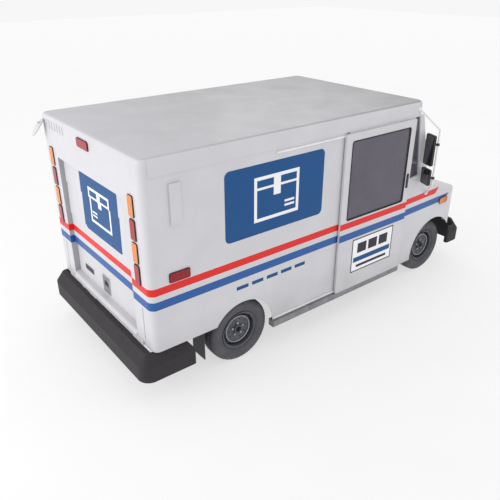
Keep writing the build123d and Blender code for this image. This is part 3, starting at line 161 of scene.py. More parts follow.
floor_finish, tree, shader = start_finish(
    "pale_studio_floor", Roughness=0.9, Emission_Color=(1.0, 1.0, 1.0, 1.0), Emission_Strength=0.60
)
coords = add(tree, "ShaderNodeTexCoord")
grain = add(tree, "ShaderNodeTexNoise", {"Vector": coords.outputs["Object"], "Scale": 1.5, "Detail": 2.0})
shade = blend_colours(tree, grain.outputs["Fac"], linear("#9a9a9a"), linear("#a0a0a0"))
tree.links.new(shade, shader.inputs["Base Color"])
mesh = bpy.data.meshes.new("studio_floor")
mesh.from_pydata([(-40, -40, 0), (40, -40, 0), (40, 40, 0), (-40, 40, 0)], [], [(0, 1, 2, 3)])
mesh.materials.append(floor_finish)
studio_floor = bpy.data.objects.new("studio_floor", mesh)
studio_floor.location.z = -0.001
bpy.context.scene.collection.objects.link(studio_floor)


def soft_lamp(name, spot, size, watts):
    """A large area lamp that points at the middle of the truck."""
    lamp = bpy.data.lights.new(name, "AREA")
    lamp.size = size
    lamp.energy = watts
    obj = bpy.data.objects.new(name, lamp)
    obj.location = spot
    obj.rotation_euler = (Vector((0, 0, 1)) - Vector(spot)).to_track_quat("-Z", "Y").to_euler()
    bpy.context.scene.collection.objects.link(obj)


soft_lamp("side_softbox", (1.0, -7.5, 4.5), 5.0, 25)
soft_lamp("rear_softbox", (-8.0, 1.0, 3.5), 4.0, 190)
soft_lamp("far_softbox", (5.0, 5.0, 5.5), 4.0, 35)
print("studio lit")

# %% [markdown]
# ## Coach enamel with the livery stripes
# The body is white stoved enamel on aluminium and moulded panels: smooth, a little
# glossy, dusty, and darker towards the bottom. The two stripes are painted at one height all round,
# so the finish draws them by height and only on faces that look outwards. The roof's
# upward faces are painted grey as painted shade, darker towards the front.

# %% Mix the enamel
STRIPE_RED = "#db1c15"
STRIPE_BLUE = "#1f569a"
PANEL_BLUE = "#164c83"
BODY_WHITE = "#c5c4c9"
RED_MIDDLE = 1.0665
RED_HALF = 0.0335
BLUE_MIDDLE = 0.941
BLUE_HALF = 0.038
RED_END = 1.617
BLUE_END = 1.846


def mix_enamel(name, plates=False):
    """White coach enamel; plates adds the dark pull and latch plates of the rear door."""
    finish, tree, shader = start_finish(name, Coat_Weight=0.1, Coat_Roughness=0.12, Specular_IOR_Level=0.35)
    coords, x, y, z = place_of(tree)
    facing = add(tree, "ShaderNodeSeparateXYZ", {"Vector": coords.outputs["Normal"]})
    outward = sum_of(tree, "MULTIPLY", facing.outputs["Y"], y)
    side_face = sum_of(tree, "GREATER_THAN", outward, 0.3)
    rearward = sum_of(tree, "LESS_THAN", facing.outputs["X"], -0.3)
    at_tail = sum_of(tree, "LESS_THAN", x, -2.03)
    tail_face = sum_of(tree, "MULTIPLY", rearward, at_tail)
    span = sum_of(tree, "ABSOLUTE", y, 0.0)
    # the stripes also run across the reveals at both sides of the rear door
    reveal = sum_of(tree, "COMPARE", span, 0.658, 0.004)
    reveal = sum_of(tree, "MULTIPLY", reveal, sum_of(tree, "LESS_THAN", outward, -0.3))
    reveal = sum_of(tree, "MULTIPLY", reveal, at_tail)
    painted = sum_of(tree, "MAXIMUM", sum_of(tree, "MAXIMUM", side_face, tail_face), reveal)
    # orange peel about 6 mm across, too fine to show smaller
    peel = add(tree, "ShaderNodeTexNoise", {"Vector": coords.outputs["Object"], "Scale": 160.0})
    # patches of dust about 300 mm across
    dust = add(tree, "ShaderNodeTexNoise", {"Vector": coords.outputs["Object"], "Scale": 3.3, "Detail": 6.0})
    tone = blend_colours(tree, dust.outputs["Fac"], linear("#d3d2d6"), linear(BODY_WHITE))
    # painted shade: the upward faces of the roof are painted grey
    upward = sum_of(tree, "GREATER_THAN", facing.outputs["Z"], 0.75)
    high = sum_of(tree, "GREATER_THAN", z, 2.1)
    on_roof = sum_of(tree, "MULTIPLY", upward, high)
    # painted shade: the roof top is painted darker towards the front, broken up by the dust pattern
    roof_shade_amount = add(tree, "ShaderNodeMapRange", {"Value": x, "From Min": -2.0, "From Max": 1.2})
    roof_shade_amount = sum_of(tree, "MULTIPLY", roof_shade_amount.outputs["Result"], 0.7)
    roof_shade_amount = sum_of(tree, "MULTIPLY_ADD", dust.outputs["Fac"], 0.3, roof_shade_amount)
    roof_painted_shade = blend_colours(tree, roof_shade_amount, linear("#c2c1c6"), linear("#8b898c"))
    tone = blend_colours(tree, on_roof, tone, roof_painted_shade)
    # painted shade: the recessed reveals beside the rear door are painted a darker grey
    tone = blend_colours(tree, reveal, tone, linear("#a9a9ad"))
    slope = sum_of(tree, "MULTIPLY_ADD", z, -1.0, x)
    for middle, half, end, colour in (
        (RED_MIDDLE, RED_HALF, RED_END, STRIPE_RED),
        (BLUE_MIDDLE, BLUE_HALF, BLUE_END, STRIPE_BLUE),
    ):
        band = sum_of(tree, "COMPARE", z, middle, half)
        before_tip = sum_of(tree, "LESS_THAN", slope, end - middle)
        stripe = sum_of(tree, "MULTIPLY", sum_of(tree, "MULTIPLY", band, before_tip), painted)
        tone = blend_colours(tree, stripe, tone, linear(colour))
    # darker towards the bottom, up to about 600 mm, broken up by the dust pattern
    heights = {"Value": z, "From Min": 0.30, "From Max": 0.72, "To Min": 0.55, "To Max": 0.0}
    low = add(tree, "ShaderNodeMapRange", heights)
    film = sum_of(tree, "MULTIPLY", low.outputs["Result"], dust.outputs["Fac"])
    tone = blend_colours(tree, film, tone, linear("#8e8a88"))
    # the pull handles stand out from the doors and are moulded in black
    tone = blend_colours(tree, sum_of(tree, "GREATER_THAN", span, 0.9879), tone, linear("#2c2c30"))
    if plates:
        proud = sum_of(tree, "LESS_THAN", x, -2.0434)
        pull = sum_of(tree, "MULTIPLY", proud, sum_of(tree, "COMPARE", y, 0.394, 0.094))
        latch = sum_of(tree, "COMPARE", y, 0.013, 0.0695)
        latch = sum_of(tree, "MULTIPLY", latch, sum_of(tree, "COMPARE", z, 0.701, 0.0895))
        tone = blend_colours(tree, sum_of(tree, "MULTIPLY", latch, rearward), tone, linear("#77787c"))
        tone = blend_colours(tree, pull, tone, linear("#2a2a2e"))
    tree.links.new(tone, shader.inputs["Base Color"])
    gloss = add(tree, "ShaderNodeMapRange", {"Value": dust.outputs["Fac"], "To Min": 0.32, "To Max": 0.52})
    tree.links.new(gloss.outputs["Result"], shader.inputs["Roughness"])
    bump = add(tree, "ShaderNodeBump", {"Height": peel.outputs["Fac"], "Strength": 0.04, "Distance": 0.001})
    tree.links.new(bump.outputs["Normal"], shader.inputs["Normal"])
    return finish


coach_enamel = mix_enamel("stoved_coach_enamel")
latch_enamel = mix_enamel("stoved_enamel_with_plates", plates=True)
WHITE_NODES = ["roof", "rear_frame", "cowl_frame", "front_fenders", "hood"]
WHITE_NODES += ["side_panel_right", "side_panel_left", "door_right", "door_left"]
WHITE_NODES += ["rear_section_2", "rear_section_3", "rear_section_4"]
for node in WHITE_NODES:
    dress(node, coach_enamel)
dress("rear_section_1", latch_enamel)
print("enamelled", len(WHITE_NODES) + 1, "nodes")

# %% [markdown]
# ## Plain finishes
# The other nodes are one material each: painted steel, moulded plastic, rubber,
# cast alloy, glass and vinyl. They share one recipe: a colour broken up by a noise of
# a real grain size, a roughness that follows it, and a bump that gives the touch.


# %% Recipe for a grained finish
def grained(name, dark, light, grain_mm, bump_mm, rough, metallic=0.0, stretch=(1, 1, 1), **constants):
    """A finish whose colour, roughness and bump follow one grain of a real size."""
    finish, tree, shader = start_finish(name, Metallic=metallic, **constants)
    coords = add(tree, "ShaderNodeTexCoord")
    sized = add(tree, "ShaderNodeMapping", {"Vector": coords.outputs["Object"], "Scale": stretch})
    fine = add(tree, "ShaderNodeTexNoise", {"Vector": sized.outputs[0], "Scale": 1000 / grain_mm, "Detail": 4.0})
    # wear and dust are ten times as coarse as the grain, and at least 80 mm across
    broad_mm = max(80.0, grain_mm * 10)
    broad = add(tree, "ShaderNodeTexNoise", {"Vector": sized.outputs[0], "Scale": 1000 / broad_mm, "Detail": 5.0})
    half_broad = sum_of(tree, "MULTIPLY", broad.outputs["Fac"], 0.5)
    mixed = sum_of(tree, "MULTIPLY_ADD", fine.outputs["Fac"], 0.5, half_broad)
    spread = add(tree, "ShaderNodeMapRange", {"Value": mixed, "From Min": 0.35, "From Max": 0.65})
    colour = blend_colours(tree, spread.outputs["Result"], linear(dark), linear(light))
    tree.links.new(colour, shader.inputs["Base Color"])
    gloss = add(tree, "ShaderNodeMapRange", {"Value": mixed, "To Min": rough - 0.1, "To Max": rough + 0.1})
    tree.links.new(gloss.outputs["Result"], shader.inputs["Roughness"])
    bump = add(tree, "ShaderNodeBump", {"Height": fine.outputs["Fac"], "Strength": 0.5, "Distance": bump_mm / 1000})
    tree.links.new(bump.outputs["Normal"], shader.inputs["Normal"])
    return finish


# %% Finishes for the running gear
chassis_paint = grained("black_chassis_enamel", "#232325", "#35353a", 12, 0.4, 0.55)
wheel_paint = grained("grey_wheel_enamel", "#3f4047", "#55565d", 10, 0.3, 0.5)
tyre_rubber = grained("tyre_rubber", "#46464c", "#58585e", 8, 0.4, 0.85)
cast_alloy = grained("sand_cast_alloy", "#77797d", "#9a9ca0", 5, 0.5, 0.6, metallic=0.8)
zinc_plate = grained("zinc_plated_steel", "#85868b", "#adaeb3", 4, 0.1, 0.4, metallic=0.5)
exhaust_steel = grained("heat_dulled_steel", "#57504b", "#7d756e", 14, 0.3, 0.5, metallic=0.9)
tank_moulding = grained("blow_moulded_polyethylene", "#222326", "#2f3034", 6, 0.4, 0.6)
spring_steel = grained("painted_spring_steel", "#262628", "#3c3b3c", 9, 0.3, 0.55)

# %% Finishes for the body
bumper_moulding = grained("grained_polyurethane_bumper", "#2c292c", "#373337", 7, 0.6, 0.62, Specular_IOR_Level=0.25)
step_rubber = grained("ribbed_step_rubber", "#6d6d71", "#929296", 9, 0.8, 0.8)
trim_plastic = grained("satin_abs_trim", "#1c1c1f", "#2a2a2e", 5, 0.2, 0.45)
rail_coating = grained("white_coated_rail", "#dcdcdf", "#f2f2f4", 10, 0.2, 0.4)
floor_paint = grained("grey_floor_enamel", "#7c7e82", "#94969a", 10, 0.4, 0.6)
dash_moulding = grained("grained_abs_dash", "#1d1d20", "#2b2b2f", 4, 0.4, 0.6)
control_enamel = grained("black_control_enamel", "#1f1f21", "#303033", 8, 0.2, 0.45)
seal_rubber = grained("epdm_seal_rubber", "#141416", "#222225", 5, 0.3, 0.75)
print("grained finishes mixed")

# %% Dress the grained nodes
DRESSED = {
    chassis_paint: ["chassis_frame", "rear_axle", "driveshaft", "tie_rod", "carrier_right", "carrier_left"]
    + ["knuckle_right", "knuckle_left"],
    wheel_paint: ["rear_wheel_right", "rear_wheel_left", "front_wheel_right", "front_wheel_left"],
    cast_alloy: ["engine", "radiator"],
    exhaust_steel: ["exhaust"],
    tank_moulding: ["fuel_tank"],
    bumper_moulding: ["rear_bumper", "front_bumper"],
    trim_plastic: ["grille", "wiper_right", "wiper_left", "mirror_heads_right", "mirror_heads_left"]
    + ["rear_door_latch", "steering_wheel"],
    rail_coating: ["door_tracks", "mirror_brackets"],
    floor_paint: ["bulkhead"],
    dash_moulding: ["dashboard"],
    control_enamel: ["brake_pedal", "gear_lever", "seat_base"],
}
for finish, nodes in DRESSED.items():
    for node in nodes:
        dress(node, finish)
FLAP_X = -1.5
ARCH_SIDE_Y = 0.70
ARCH_TOP_Z = 0.735
# the mud flaps share a node with the steps, and stay black
dress("running_boards", step_rubber, tank_moulding)
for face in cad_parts["running_boards"].data.polygons:
    face.material_index = int(face.center.x < FLAP_X)
# the floor's underside and the insides of the wheel arches are black
dress("floor_pan", floor_paint, chassis_paint)
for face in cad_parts["floor_pan"].data.polygons:
    in_arch = abs(face.center.y) > ARCH_SIDE_Y and face.center.z < ARCH_TOP_Z and face.normal.z < 0.2
    face.material_index = int(in_arch or face.normal.z < -0.2)
print("dressed", sum(len(nodes) for nodes in DRESSED.values()), "grained nodes")

# %% [markdown]
# ## Glass and lamp lenses
# The windows are tinted safety glass, dark from outside. A thin pane that only lets
# part of the light through and mirrors the studio does this at little cost. Lamp
# lenses are moulded acrylic with fine upright flutes inside.


# %% Make the glass
def tinted_glass():
    finish, tree, shader = start_finish("tinted_safety_glass", IOR=1.5, Roughness=0.04, Alpha=0.8)
    coords = add(tree, "ShaderNodeTexCoord")
    # rolled glass waves very slightly, about 200 mm from crest to crest
    wave = add(tree, "ShaderNodeTexNoise", {"Vector": coords.outputs["Object"], "Scale": 5.0})
    colour = blend_colours(tree, wave.outputs["Fac"], linear("#575360"), linear("#676370"))
    tree.links.new(colour, shader.inputs["Base Color"])
    bump = add(tree, "ShaderNodeBump", {"Height": wave.outputs["Fac"], "Strength": 0.05, "Distance": 0.002})
    tree.links.new(bump.outputs["Normal"], shader.inputs["Normal"])
    return finish


def fluted_lens(name, deep, bright, **constants):
    """Clear coloured acrylic with flutes 8 mm apart."""
    finish, tree, shader = start_finish(name, Roughness=0.14, IOR=1.49, Specular_IOR_Level=0.35, **constants)
    coords = add(tree, "ShaderNodeTexCoord")
    flutes = add(
        tree,
        "ShaderNodeTexWave",
        {"Vector": coords.outputs["Object"], "Scale": 1000 / 8 / 6.283},
        bands_direction="Y",
    )
    cells = add(tree, "ShaderNodeTexVoronoi", {"Vector": coords.outputs["Object"], "Scale": 90.0})
    mixed = sum_of(tree, "MULTIPLY_ADD", cells.outputs["Distance"], 0.6, flutes.outputs["Fac"])
    colour = blend_colours(tree, sum_of(tree, "MULTIPLY", mixed, 0.7), linear(deep), linear(bright))
    tree.links.new(colour, shader.inputs["Base Color"])
    bump = add(tree, "ShaderNodeBump", {"Height": flutes.outputs["Fac"], "Strength": 0.4, "Distance": 0.001})
    tree.links.new(bump.outputs["Normal"], shader.inputs["Normal"])
    return finish


window_glass = tinted_glass()
amber_lens = fluted_lens("amber_acrylic_lens", "#b85a24", "#ee9a50")
red_lens = fluted_lens("red_acrylic_lens", "#7c1420", "#ac2631")
clear_lens = fluted_lens("clear_pressed_lens", "#b9bec6", "#f0f3f7")
for node in ("cab_glass", "door_glass_right", "door_glass_left"):
    dress(node, window_glass)
dress("amber_lamps", amber_lens)
dress("red_lamps", red_lens)
dress("headlamps", clear_lens)
print("glass and lenses fitted")

# %% [markdown]
# ## Building pieces
# Small added pieces are built as meshes point by point, softened by a bevel, and made
# to ride on the body that carries them.


# %% Mesh helpers
def build(name, points, faces, finish, body, smooth=False):
    """A mesh object that rides on a body and takes its finish from a slot."""
    mesh = bpy.data.meshes.new(name)
    mesh.from_pydata(points, [], faces)
    mesh.validate()
    mesh.materials.append(finish)
    tidy = bmesh.new()
    tidy.from_mesh(mesh)
    bmesh.ops.recalc_face_normals(tidy, faces=tidy.faces)
    tidy.to_mesh(mesh)
    tidy.free()
    for face in mesh.polygons:
        face.use_smooth = smooth
    piece = bpy.data.objects.new(name, mesh)
    bpy.context.scene.collection.objects.link(piece)
    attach(piece, body)
    return piece


def soften(piece, width, steps=3):
    """Round a piece's edges a little, as a mould does."""
    bevel = piece.modifiers.new("soft_edges", "BEVEL")
    bevel.width = width
    bevel.segments = steps
    bevel.limit_method = "ANGLE"
    return piece


def slab_points(low, high):
    """The corners and faces of a box between two corners."""
    points = [(x, y, z) for x in (low[0], high[0]) for y in (low[1], high[1]) for z in (low[2], high[2])]
    faces = [(0, 1, 3, 2), (4, 6, 7, 5), (0, 4, 5, 1), (2, 3, 7, 6), (0, 2, 6, 4), (1, 5, 7, 3)]
    return points, faces


def slabs(name, boxes, finish, body, edge=0.002):
    """Several softened slabs in one piece, such as a pair of plates."""
    points, faces = [], []
    for low, high in boxes:
        corners, sides = slab_points(low, high)
        faces += [tuple(i + len(points) for i in side) for side in sides]
        points += corners
    return soften(build(name, points, faces, finish, body), edge, 2)


def tube(name, route, radius, finish, body, closed=False):
    """A bent tube or a seal that follows a route."""
    curve = bpy.data.curves.new(name, "CURVE")
    curve.dimensions = "3D"
    curve.bevel_depth = radius
    curve.bevel_resolution = 3
    spline = curve.splines.new("POLY")
    spline.points.add(len(route) - 1)
    for point, spot in zip(spline.points, route):
        point.co = (*spot, 1.0)
    spline.use_cyclic_u = closed
    curve.materials.append(finish)
    piece = bpy.data.objects.new(name, curve)
    bpy.context.scene.collection.objects.link(piece)
    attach(piece, body)
    return piece


def rounded_loop(u0, u1, v0, v1, radius, steps=6):
    """A rounded rectangle as a list of flat points, anticlockwise."""
    loop = []
    for cu, cv, turn in ((u1, v1, 0), (u0, v1, 90), (u0, v0, 180), (u1, v0, 270)):
        su = radius if cu == u0 else -radius
        sv = radius if cv == v0 else -radius
        for step in range(steps + 1):
            angle = math.radians(turn + 90 * step / steps)
            loop.append((cu + su + radius * math.cos(angle), cv + sv + radius * math.sin(angle)))
    return loop


print("mesh helpers ready")

# %% [markdown]
# ## Livery decals
# The blue field with its parcel mark and the door plaque are cut vinyl, stuck on the
# enamel. Each is a thin flat shape with its own edge, 0.3 mm proud. The mark is a
# plain taped parcel made of bars, and no lettering is drawn. On the rear door the
# field is cut at each section, so that the pieces go up with the door.


# %% Vinyl and the decal cutter
def cut_vinyl(name, colour, worn):
    finish, tree, shader = start_finish(name, Specular_IOR_Level=0.2)
    coords = add(tree, "ShaderNodeTexCoord")
    # cast vinyl film: an even colour, with dust patches about 120 mm across
    haze = add(tree, "ShaderNodeTexNoise", {"Vector": coords.outputs["Object"], "Scale": 8.0, "Detail": 6.0})
    mixed = blend_colours(tree, haze.outputs["Fac"], linear(colour), linear(worn))
    tree.links.new(mixed, shader.inputs["Base Color"])
    gloss = add(tree, "ShaderNodeMapRange", {"Value": haze.outputs["Fac"], "To Min": 0.3, "To Max": 0.5})
    tree.links.new(gloss.outputs["Result"], shader.inputs["Roughness"])
    return finish


blue_vinyl = cut_vinyl("blue_cast_vinyl", PANEL_BLUE, "#1e5389")
white_vinyl = cut_vinyl("white_cast_vinyl", "#f6f6f8", "#ececf0")
ink_vinyl = cut_vinyl("black_cast_vinyl", "#2a2a30", "#38383e")


def keep_between(loop, low, high):
    """Cut a flat loop to the band low < v < high."""
    for limit, sign in ((low, 1), (high, -1)):
        kept = []
        for first, second in zip(loop, loop[1:] + loop[:1]):
            inside_first = sign * (first[1] - limit) >= 0
            inside_second = sign * (second[1] - limit) >= 0
            if inside_first:
                kept.append(first)
            if inside_first != inside_second:
                share = (limit - first[1]) / (second[1] - first[1])
                kept.append((first[0] + share * (second[0] - first[0]), limit))
        loop = kept
    return loop


def decal(name, loops, onto, thickness, finish, body):
    """Flat loops laid on a surface: onto(u, v, proud) gives the place."""
    points, faces = [], []
    for loop in loops:
        if len(loop) < 3:
            continue
        start = len(points)
        count = len(loop)
        points += [onto(u, v, 0.0) for u, v in loop] + [onto(u, v, thickness) for u, v in loop]
        faces.append(tuple(range(start, start + count)))
        faces.append(tuple(range(start + count, start + 2 * count)))
        for i in range(count):
            j = (i + 1) % count
            faces.append((start + i, start + j, start + count + j, start + count + i))
    if points:
        build(name, points, faces, finish, body)


def bar(u0, u1, v0, v1):
    return [(u0, v0), (u1, v0), (u1, v1), (u0, v1)]


def parcel_mark(u, v, size):
    """A taped parcel, drawn with bars around its middle."""
    half = size / 2
    line = size * 0.075
    wide = half * 1.25
    mark = [
        bar(u - wide, u + wide, v + half - line, v + half),
        bar(u - wide, u + wide, v - half, v - half + line),
        bar(u - wide, u - wide + line, v - half + line, v + half - line),
        bar(u + wide - line, u + wide, v - half + line, v + half - line),
        bar(u - wide + line, u + wide - line, v + half * 0.42, v + half * 0.42 + line * 0.7),
        bar(u - line * 1.3, u + line * 1.3, v + half * 0.42 + line * 0.7, v + half - line),
        bar(u - line * 1.3, u + line * 1.3, v + half * 0.05, v + half * 0.42),
        bar(u + wide * 0.35, u + wide * 0.8, v - half * 0.62, v - half * 0.52),
        bar(u + wide * 0.35, u + wide * 0.8, v - half * 0.42, v - half * 0.32),
    ]
    return mark


print("decal cutter ready")

# %% Decals on the sides and doors
FIELD_X = (-1.369, -0.268)
FIELD_Z = (1.281, 1.906)
SIDE_Y = 0.9525
DOOR_Y = 0.9873
PLAQUE_X = (0.175, 0.805)
PLAQUE_Z = (0.500, 0.880)
for side_name, side in (("right", -1), ("left", 1)):

    def on_side(u, v, proud, side=side):
        return (u, side * (SIDE_Y + 0.0002 + proud), v)

    def on_door(u, v, proud, side=side):
        return (u, side * (DOOR_Y + 0.0002 + proud), v)

    field = rounded_loop(*FIELD_X, *FIELD_Z, 0.05)
    decal(f"side_field_{side_name}", [field], on_side, 0.0004, blue_vinyl, "chassis")
    mark = parcel_mark(sum(FIELD_X) / 2, sum(FIELD_Z) / 2, 0.40)
    decal(f"side_parcel_{side_name}", mark, on_side, 0.0008, white_vinyl, "chassis")
    dashes = [bar(-1.259 + 0.17 * i, -1.259 + 0.17 * i + 0.13, 0.800, 0.835) for i in range(5)]
    decal(f"side_dashes_{side_name}", dashes, on_side, 0.0004, blue_vinyl, "chassis")
    x0, x1 = PLAQUE_X
    z0, z1 = PLAQUE_Z
    rim = [
        bar(x0, x1, z1 - 0.012, z1),
        bar(x0, x1, z0, z0 + 0.012),
        bar(x0, x0 + 0.012, z0 + 0.012, z1 - 0.012),
        bar(x1 - 0.012, x1, z0 + 0.012, z1 - 0.012),
    ]
    decal(f"plaque_ground_{side_name}", [bar(x0, x1, z0, z1)], on_door, 0.0004, white_vinyl, f"door_{side_name}")
    decal(f"plaque_rim_{side_name}", rim, on_door, 0.0008, ink_vinyl, f"door_{side_name}")
    band = [bar(x0 + 0.03, x1 - 0.03, 0.611, 0.666)]
    decal(f"plaque_band_{side_name}", band, on_door, 0.0008, blue_vinyl, f"door_{side_name}")
    blocks = [bar(x0 + 0.08 + 0.165 * i, x0 + 0.08 + 0.165 * i + 0.135, 0.71, 0.82) for i in range(3)]
    blocks.append(bar(x0 + 0.08, x1 - 0.08, 0.545, 0.575))
    decal(f"plaque_blocks_{side_name}", blocks, on_door, 0.0008, ink_vinyl, f"door_{side_name}")
print("side decals cut")

# %% Decals on the rear door
SECTION_FEET = (0.588, 0.903, 1.220, 1.538, 1.777)
SECTION_SLOPE = 6.8 / 315
DOOR_FACE_X = -2.054
tail_field = rounded_loop(-0.442, 0.306, 1.187, 1.761, 0.045)
tail_mark = parcel_mark(-0.068, 1.474, 0.33)
for index in (1, 2, 3):
    foot = SECTION_FEET[index]
    head = SECTION_FEET[index + 1] - 0.0005

    def on_section(u, v, proud, foot=foot):
        return (DOOR_FACE_X + (v - foot) * SECTION_SLOPE - 0.0001 - proud, u, v)

    body = f"rear_section_{index + 1}"
    field = [keep_between(tail_field, foot + 0.0005, head)]
    decal(f"tail_field_{index + 1}", field, on_section, 0.0002, blue_vinyl, body)
    mark = [keep_between(loop, foot + 0.0005, head) for loop in tail_mark]
    decal(f"tail_parcel_{index + 1}", mark, on_section, 0.0003, white_vinyl, body)
print("rear decals cut")

# %% [markdown]
# ## Seals around the glass
# Each window sits in an extruded rubber seal. A round cord of rubber, half sunk in
# the frame, reads as that seal from any distance.

# %% Fit the window seals
WINDOW_X = (0.056, 0.900)
WINDOW_Z = (1.124, 1.912)
for side_name, side in (("right", -1), ("left", 1)):
    loop = rounded_loop(*WINDOW_X, *WINDOW_Z, 0.022)
    route = [(u, side * (DOOR_Y - 0.001), v) for u, v in loop]
    tube(f"window_seal_{side_name}", route, 0.006, seal_rubber, f"door_{side_name}", closed=True)
print("window seals fitted")

# %% [markdown]
# ## Lamp gaskets
# Each lens sits in a soft black gasket that follows its rounded outline, so every lamp
# is its own small shape with body colour between it and the next. A closed cord of
# rubber round the lens, half sunk in the panel, is the simplest true shape.

# %% Fit the lamp gaskets
LENS_CORNER = 0.014
GASKET_RADIUS = 0.0045
TAIL_FACE_X = -2.096
LAMP_FEET = (1.095, 1.284, 1.479, 1.674)


def tail_gasket(name, y0, y1, z0, z1):
    route = [(TAIL_FACE_X - 0.004, u, v) for u, v in rounded_loop(y0, y1, z0, z1, LENS_CORNER)]
    tube(name, route, GASKET_RADIUS, seal_rubber, "chassis", closed=True)


for side_name, side in (("right", -1), ("left", 1)):
    y0, y1 = sorted((side * 0.749, side * 0.825))
    for index, z0 in enumerate(LAMP_FEET):
        tail_gasket(f"tail_gasket_{side_name}_{index}", y0, y1, z0, z0 + 0.171)
    loop = rounded_loop(-1.913, -1.725, 1.113, 1.194, LENS_CORNER)
    route = [(u, side * 0.957, v) for u, v in loop]
    tube(f"marker_gasket_{side_name}", route, GASKET_RADIUS, seal_rubber, "chassis", closed=True)
tail_gasket("header_gasket", -0.105, 0.105, 2.010, 2.084)
# the side marker follows the fender, which leans in towards the front
FENDER_LEAN = math.atan(0.0405 / 1.013)
MARKER_X = 1.775
MARKER_Y = 0.9256
MARKER_Z = (0.871, 0.947)
MARKER_HALF = 0.080
MARKER_CORNER = 0.032
for side_name, side in (("right", -1), ("left", 1)):
    route = []
    for u, v in rounded_loop(-MARKER_HALF, MARKER_HALF, *MARKER_Z, MARKER_CORNER):
        aside = MARKER_Y - u * math.sin(FENDER_LEAN)
        route.append((MARKER_X + u * math.cos(FENDER_LEAN), side * aside, v))
    tube(f"fender_gasket_{side_name}", route, GASKET_RADIUS, seal_rubber, "chassis", closed=True)
print("lamp gaskets fitted")

# %% [markdown]
# ## Tyres
# A road tyre is a bulging ring with a flat crown. The crown has three grooves round it
# and the shoulders are cut into blocks. The section is spun in small steps, and every
# fourth step drops the shoulder to make the cross cuts.

# %% Spin the tyres
AXLE_Z = 0.3195
# each axle's place along the truck, and the middle of its right and left tyres
AXLES = {"rear": (-1.185, 0.811), "front": (1.638, 0.745)}
HALF_TYRE = 0.0945
SECTION = [
    (0.1925, -0.074, 0), (0.205, -0.083, 0), (0.222, -0.0895, 0), (0.226, -0.0915, 0), (0.230, -0.0900, 0),
    (0.248, -0.0935, 0), (0.268, -0.0930, 0), (0.272, -0.0945, 0), (0.276, -0.0920, 0), (0.292, -0.0870, 0),
    (0.304, -0.0800, 1), (0.3120, -0.0725, 1), (0.3170, -0.0600, 1), (0.3180, -0.0400, 1), (0.3110, -0.0380, 0),
    (0.3110, -0.0310, 0), (0.3190, -0.0290, 0), (0.3194, -0.0050, 0), (0.3120, -0.0038, 0), (0.3120, 0.0038, 0),
    (0.3194, 0.0050, 0), (0.3190, 0.0290, 0), (0.3110, 0.0310, 0), (0.3110, 0.0380, 0), (0.3180, 0.0400, 1),
    (0.3170, 0.0600, 1), (0.3120, 0.0725, 1), (0.304, 0.0800, 1), (0.292, 0.0870, 0), (0.276, 0.0920, 0),
    (0.272, 0.0945, 0), (0.268, 0.0930, 0), (0.248, 0.0935, 0), (0.230, 0.0900, 0), (0.226, 0.0915, 0),
    (0.222, 0.0895, 0), (0.205, 0.083, 0), (0.1925, 0.074, 0), (0.215, 0.060, 0), (0.285, 0.050, 0),
    (0.285, -0.050, 0), (0.215, -0.060, 0),
]
BLOCKS = 60


def tyre(name, axle_x, middle_y, body, node):
    points, faces = [], []
    steps = BLOCKS * 4
    count = len(SECTION)
    for step in range(steps):
        phase = step % 4
        angle = 2 * math.pi * (step // 4 + (0.0, 0.16, 0.24, 0.92)[phase]) / BLOCKS
        cut = 0.007 if phase in (1, 2) else 0.0
        for radius, across, cross_cut in SECTION:
            r = radius - (cut if cross_cut else 0.0)
            points.append((axle_x + r * math.cos(angle), middle_y + across, AXLE_Z + r * math.sin(angle)))
    for step in range(steps):
        after = (step + 1) % steps
        for i in range(count):
            j = (i + 1) % count
            faces.append((step * count + i, step * count + j, after * count + j, after * count + i))
    piece = build(name, points, faces, tyre_rubber, body, smooth=True)
    piece.data.set_sharp_from_angle(angle=math.radians(38))
    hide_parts(node)


for side_name, side in (("right", -1), ("left", 1)):
    for end, (axle_x, middle) in AXLES.items():
        body = f"{end}_wheel_{side_name}"
        tyre(f"treaded_tyre_{end}_{side_name}", axle_x, side * middle, body, f"{end}_tyre_{side_name}")
print("four tyres,", BLOCKS, "shoulder blocks each")

# %% [markdown]
# ## Wheel trim
# Five zinc plated nuts hold each wheel. A bright zinc ring at the step where the
# disc meets the rim is a painted highlight. Each nut is a six-sided prism with a narrowed end.

# %% Add the wheel nuts and rings
NUT_RING = 0.060
NUT_STEPS = ((0.001, 0.0135), (0.013, 0.0135), (0.018, 0.0100))
STEP_RING = 0.134
RING_DEPTH = 0.048
DISC_DEPTH = 0.060


def wheel_trim(end, side_name, side, axle_x, outer_y):
    body = f"{end}_wheel_{side_name}"
    face = outer_y - DISC_DEPTH
    points, faces = [], []
    for stud in range(5):
        around = math.radians(90 + 72 * stud)
        start = len(points)
        for depth, radius in NUT_STEPS:
            for corner in range(6):
                turn = math.radians(60 * corner)
                x = axle_x + NUT_RING * math.cos(around) + radius * math.cos(turn)
                z = AXLE_Z + NUT_RING * math.sin(around) + radius * math.sin(turn)
                points.append((x, side * (face + depth), z))
        for ring in (start, start + 6):
            for corner in range(6):
                after = (corner + 1) % 6
                faces.append((ring + corner, ring + after, ring + 6 + after, ring + 6 + corner))
        faces += [tuple(range(start, start + 6)), tuple(range(start + 12, start + 18))]
    build(f"wheel_nuts_{end}_{side_name}", points, faces, zinc_plate, body)
    # painted highlight: a bright zinc ring at the disc step stands in for the light caught there
    route = []
    for step in range(48):
        turn = 2 * math.pi * step / 48
        x = axle_x + STEP_RING * math.cos(turn)
        route.append((x, side * (outer_y - RING_DEPTH), AXLE_Z + STEP_RING * math.sin(turn)))
    tube(f"wheel_highlight_ring_{end}_{side_name}", route, 0.007, zinc_plate, body, closed=True)


for side_name, side in (("right", -1), ("left", 1)):
    for end, (axle_x, middle) in AXLES.items():
        wheel_trim(end, side_name, side, axle_x, middle + HALF_TYRE)
print("wheel trim fitted")

# %% [markdown]
# ## Mirrors
# Each mirror head is a black shell with a silvered glass on the face that looks back.
# The glass is a thin rounded plate, set just inside the shell's rim.


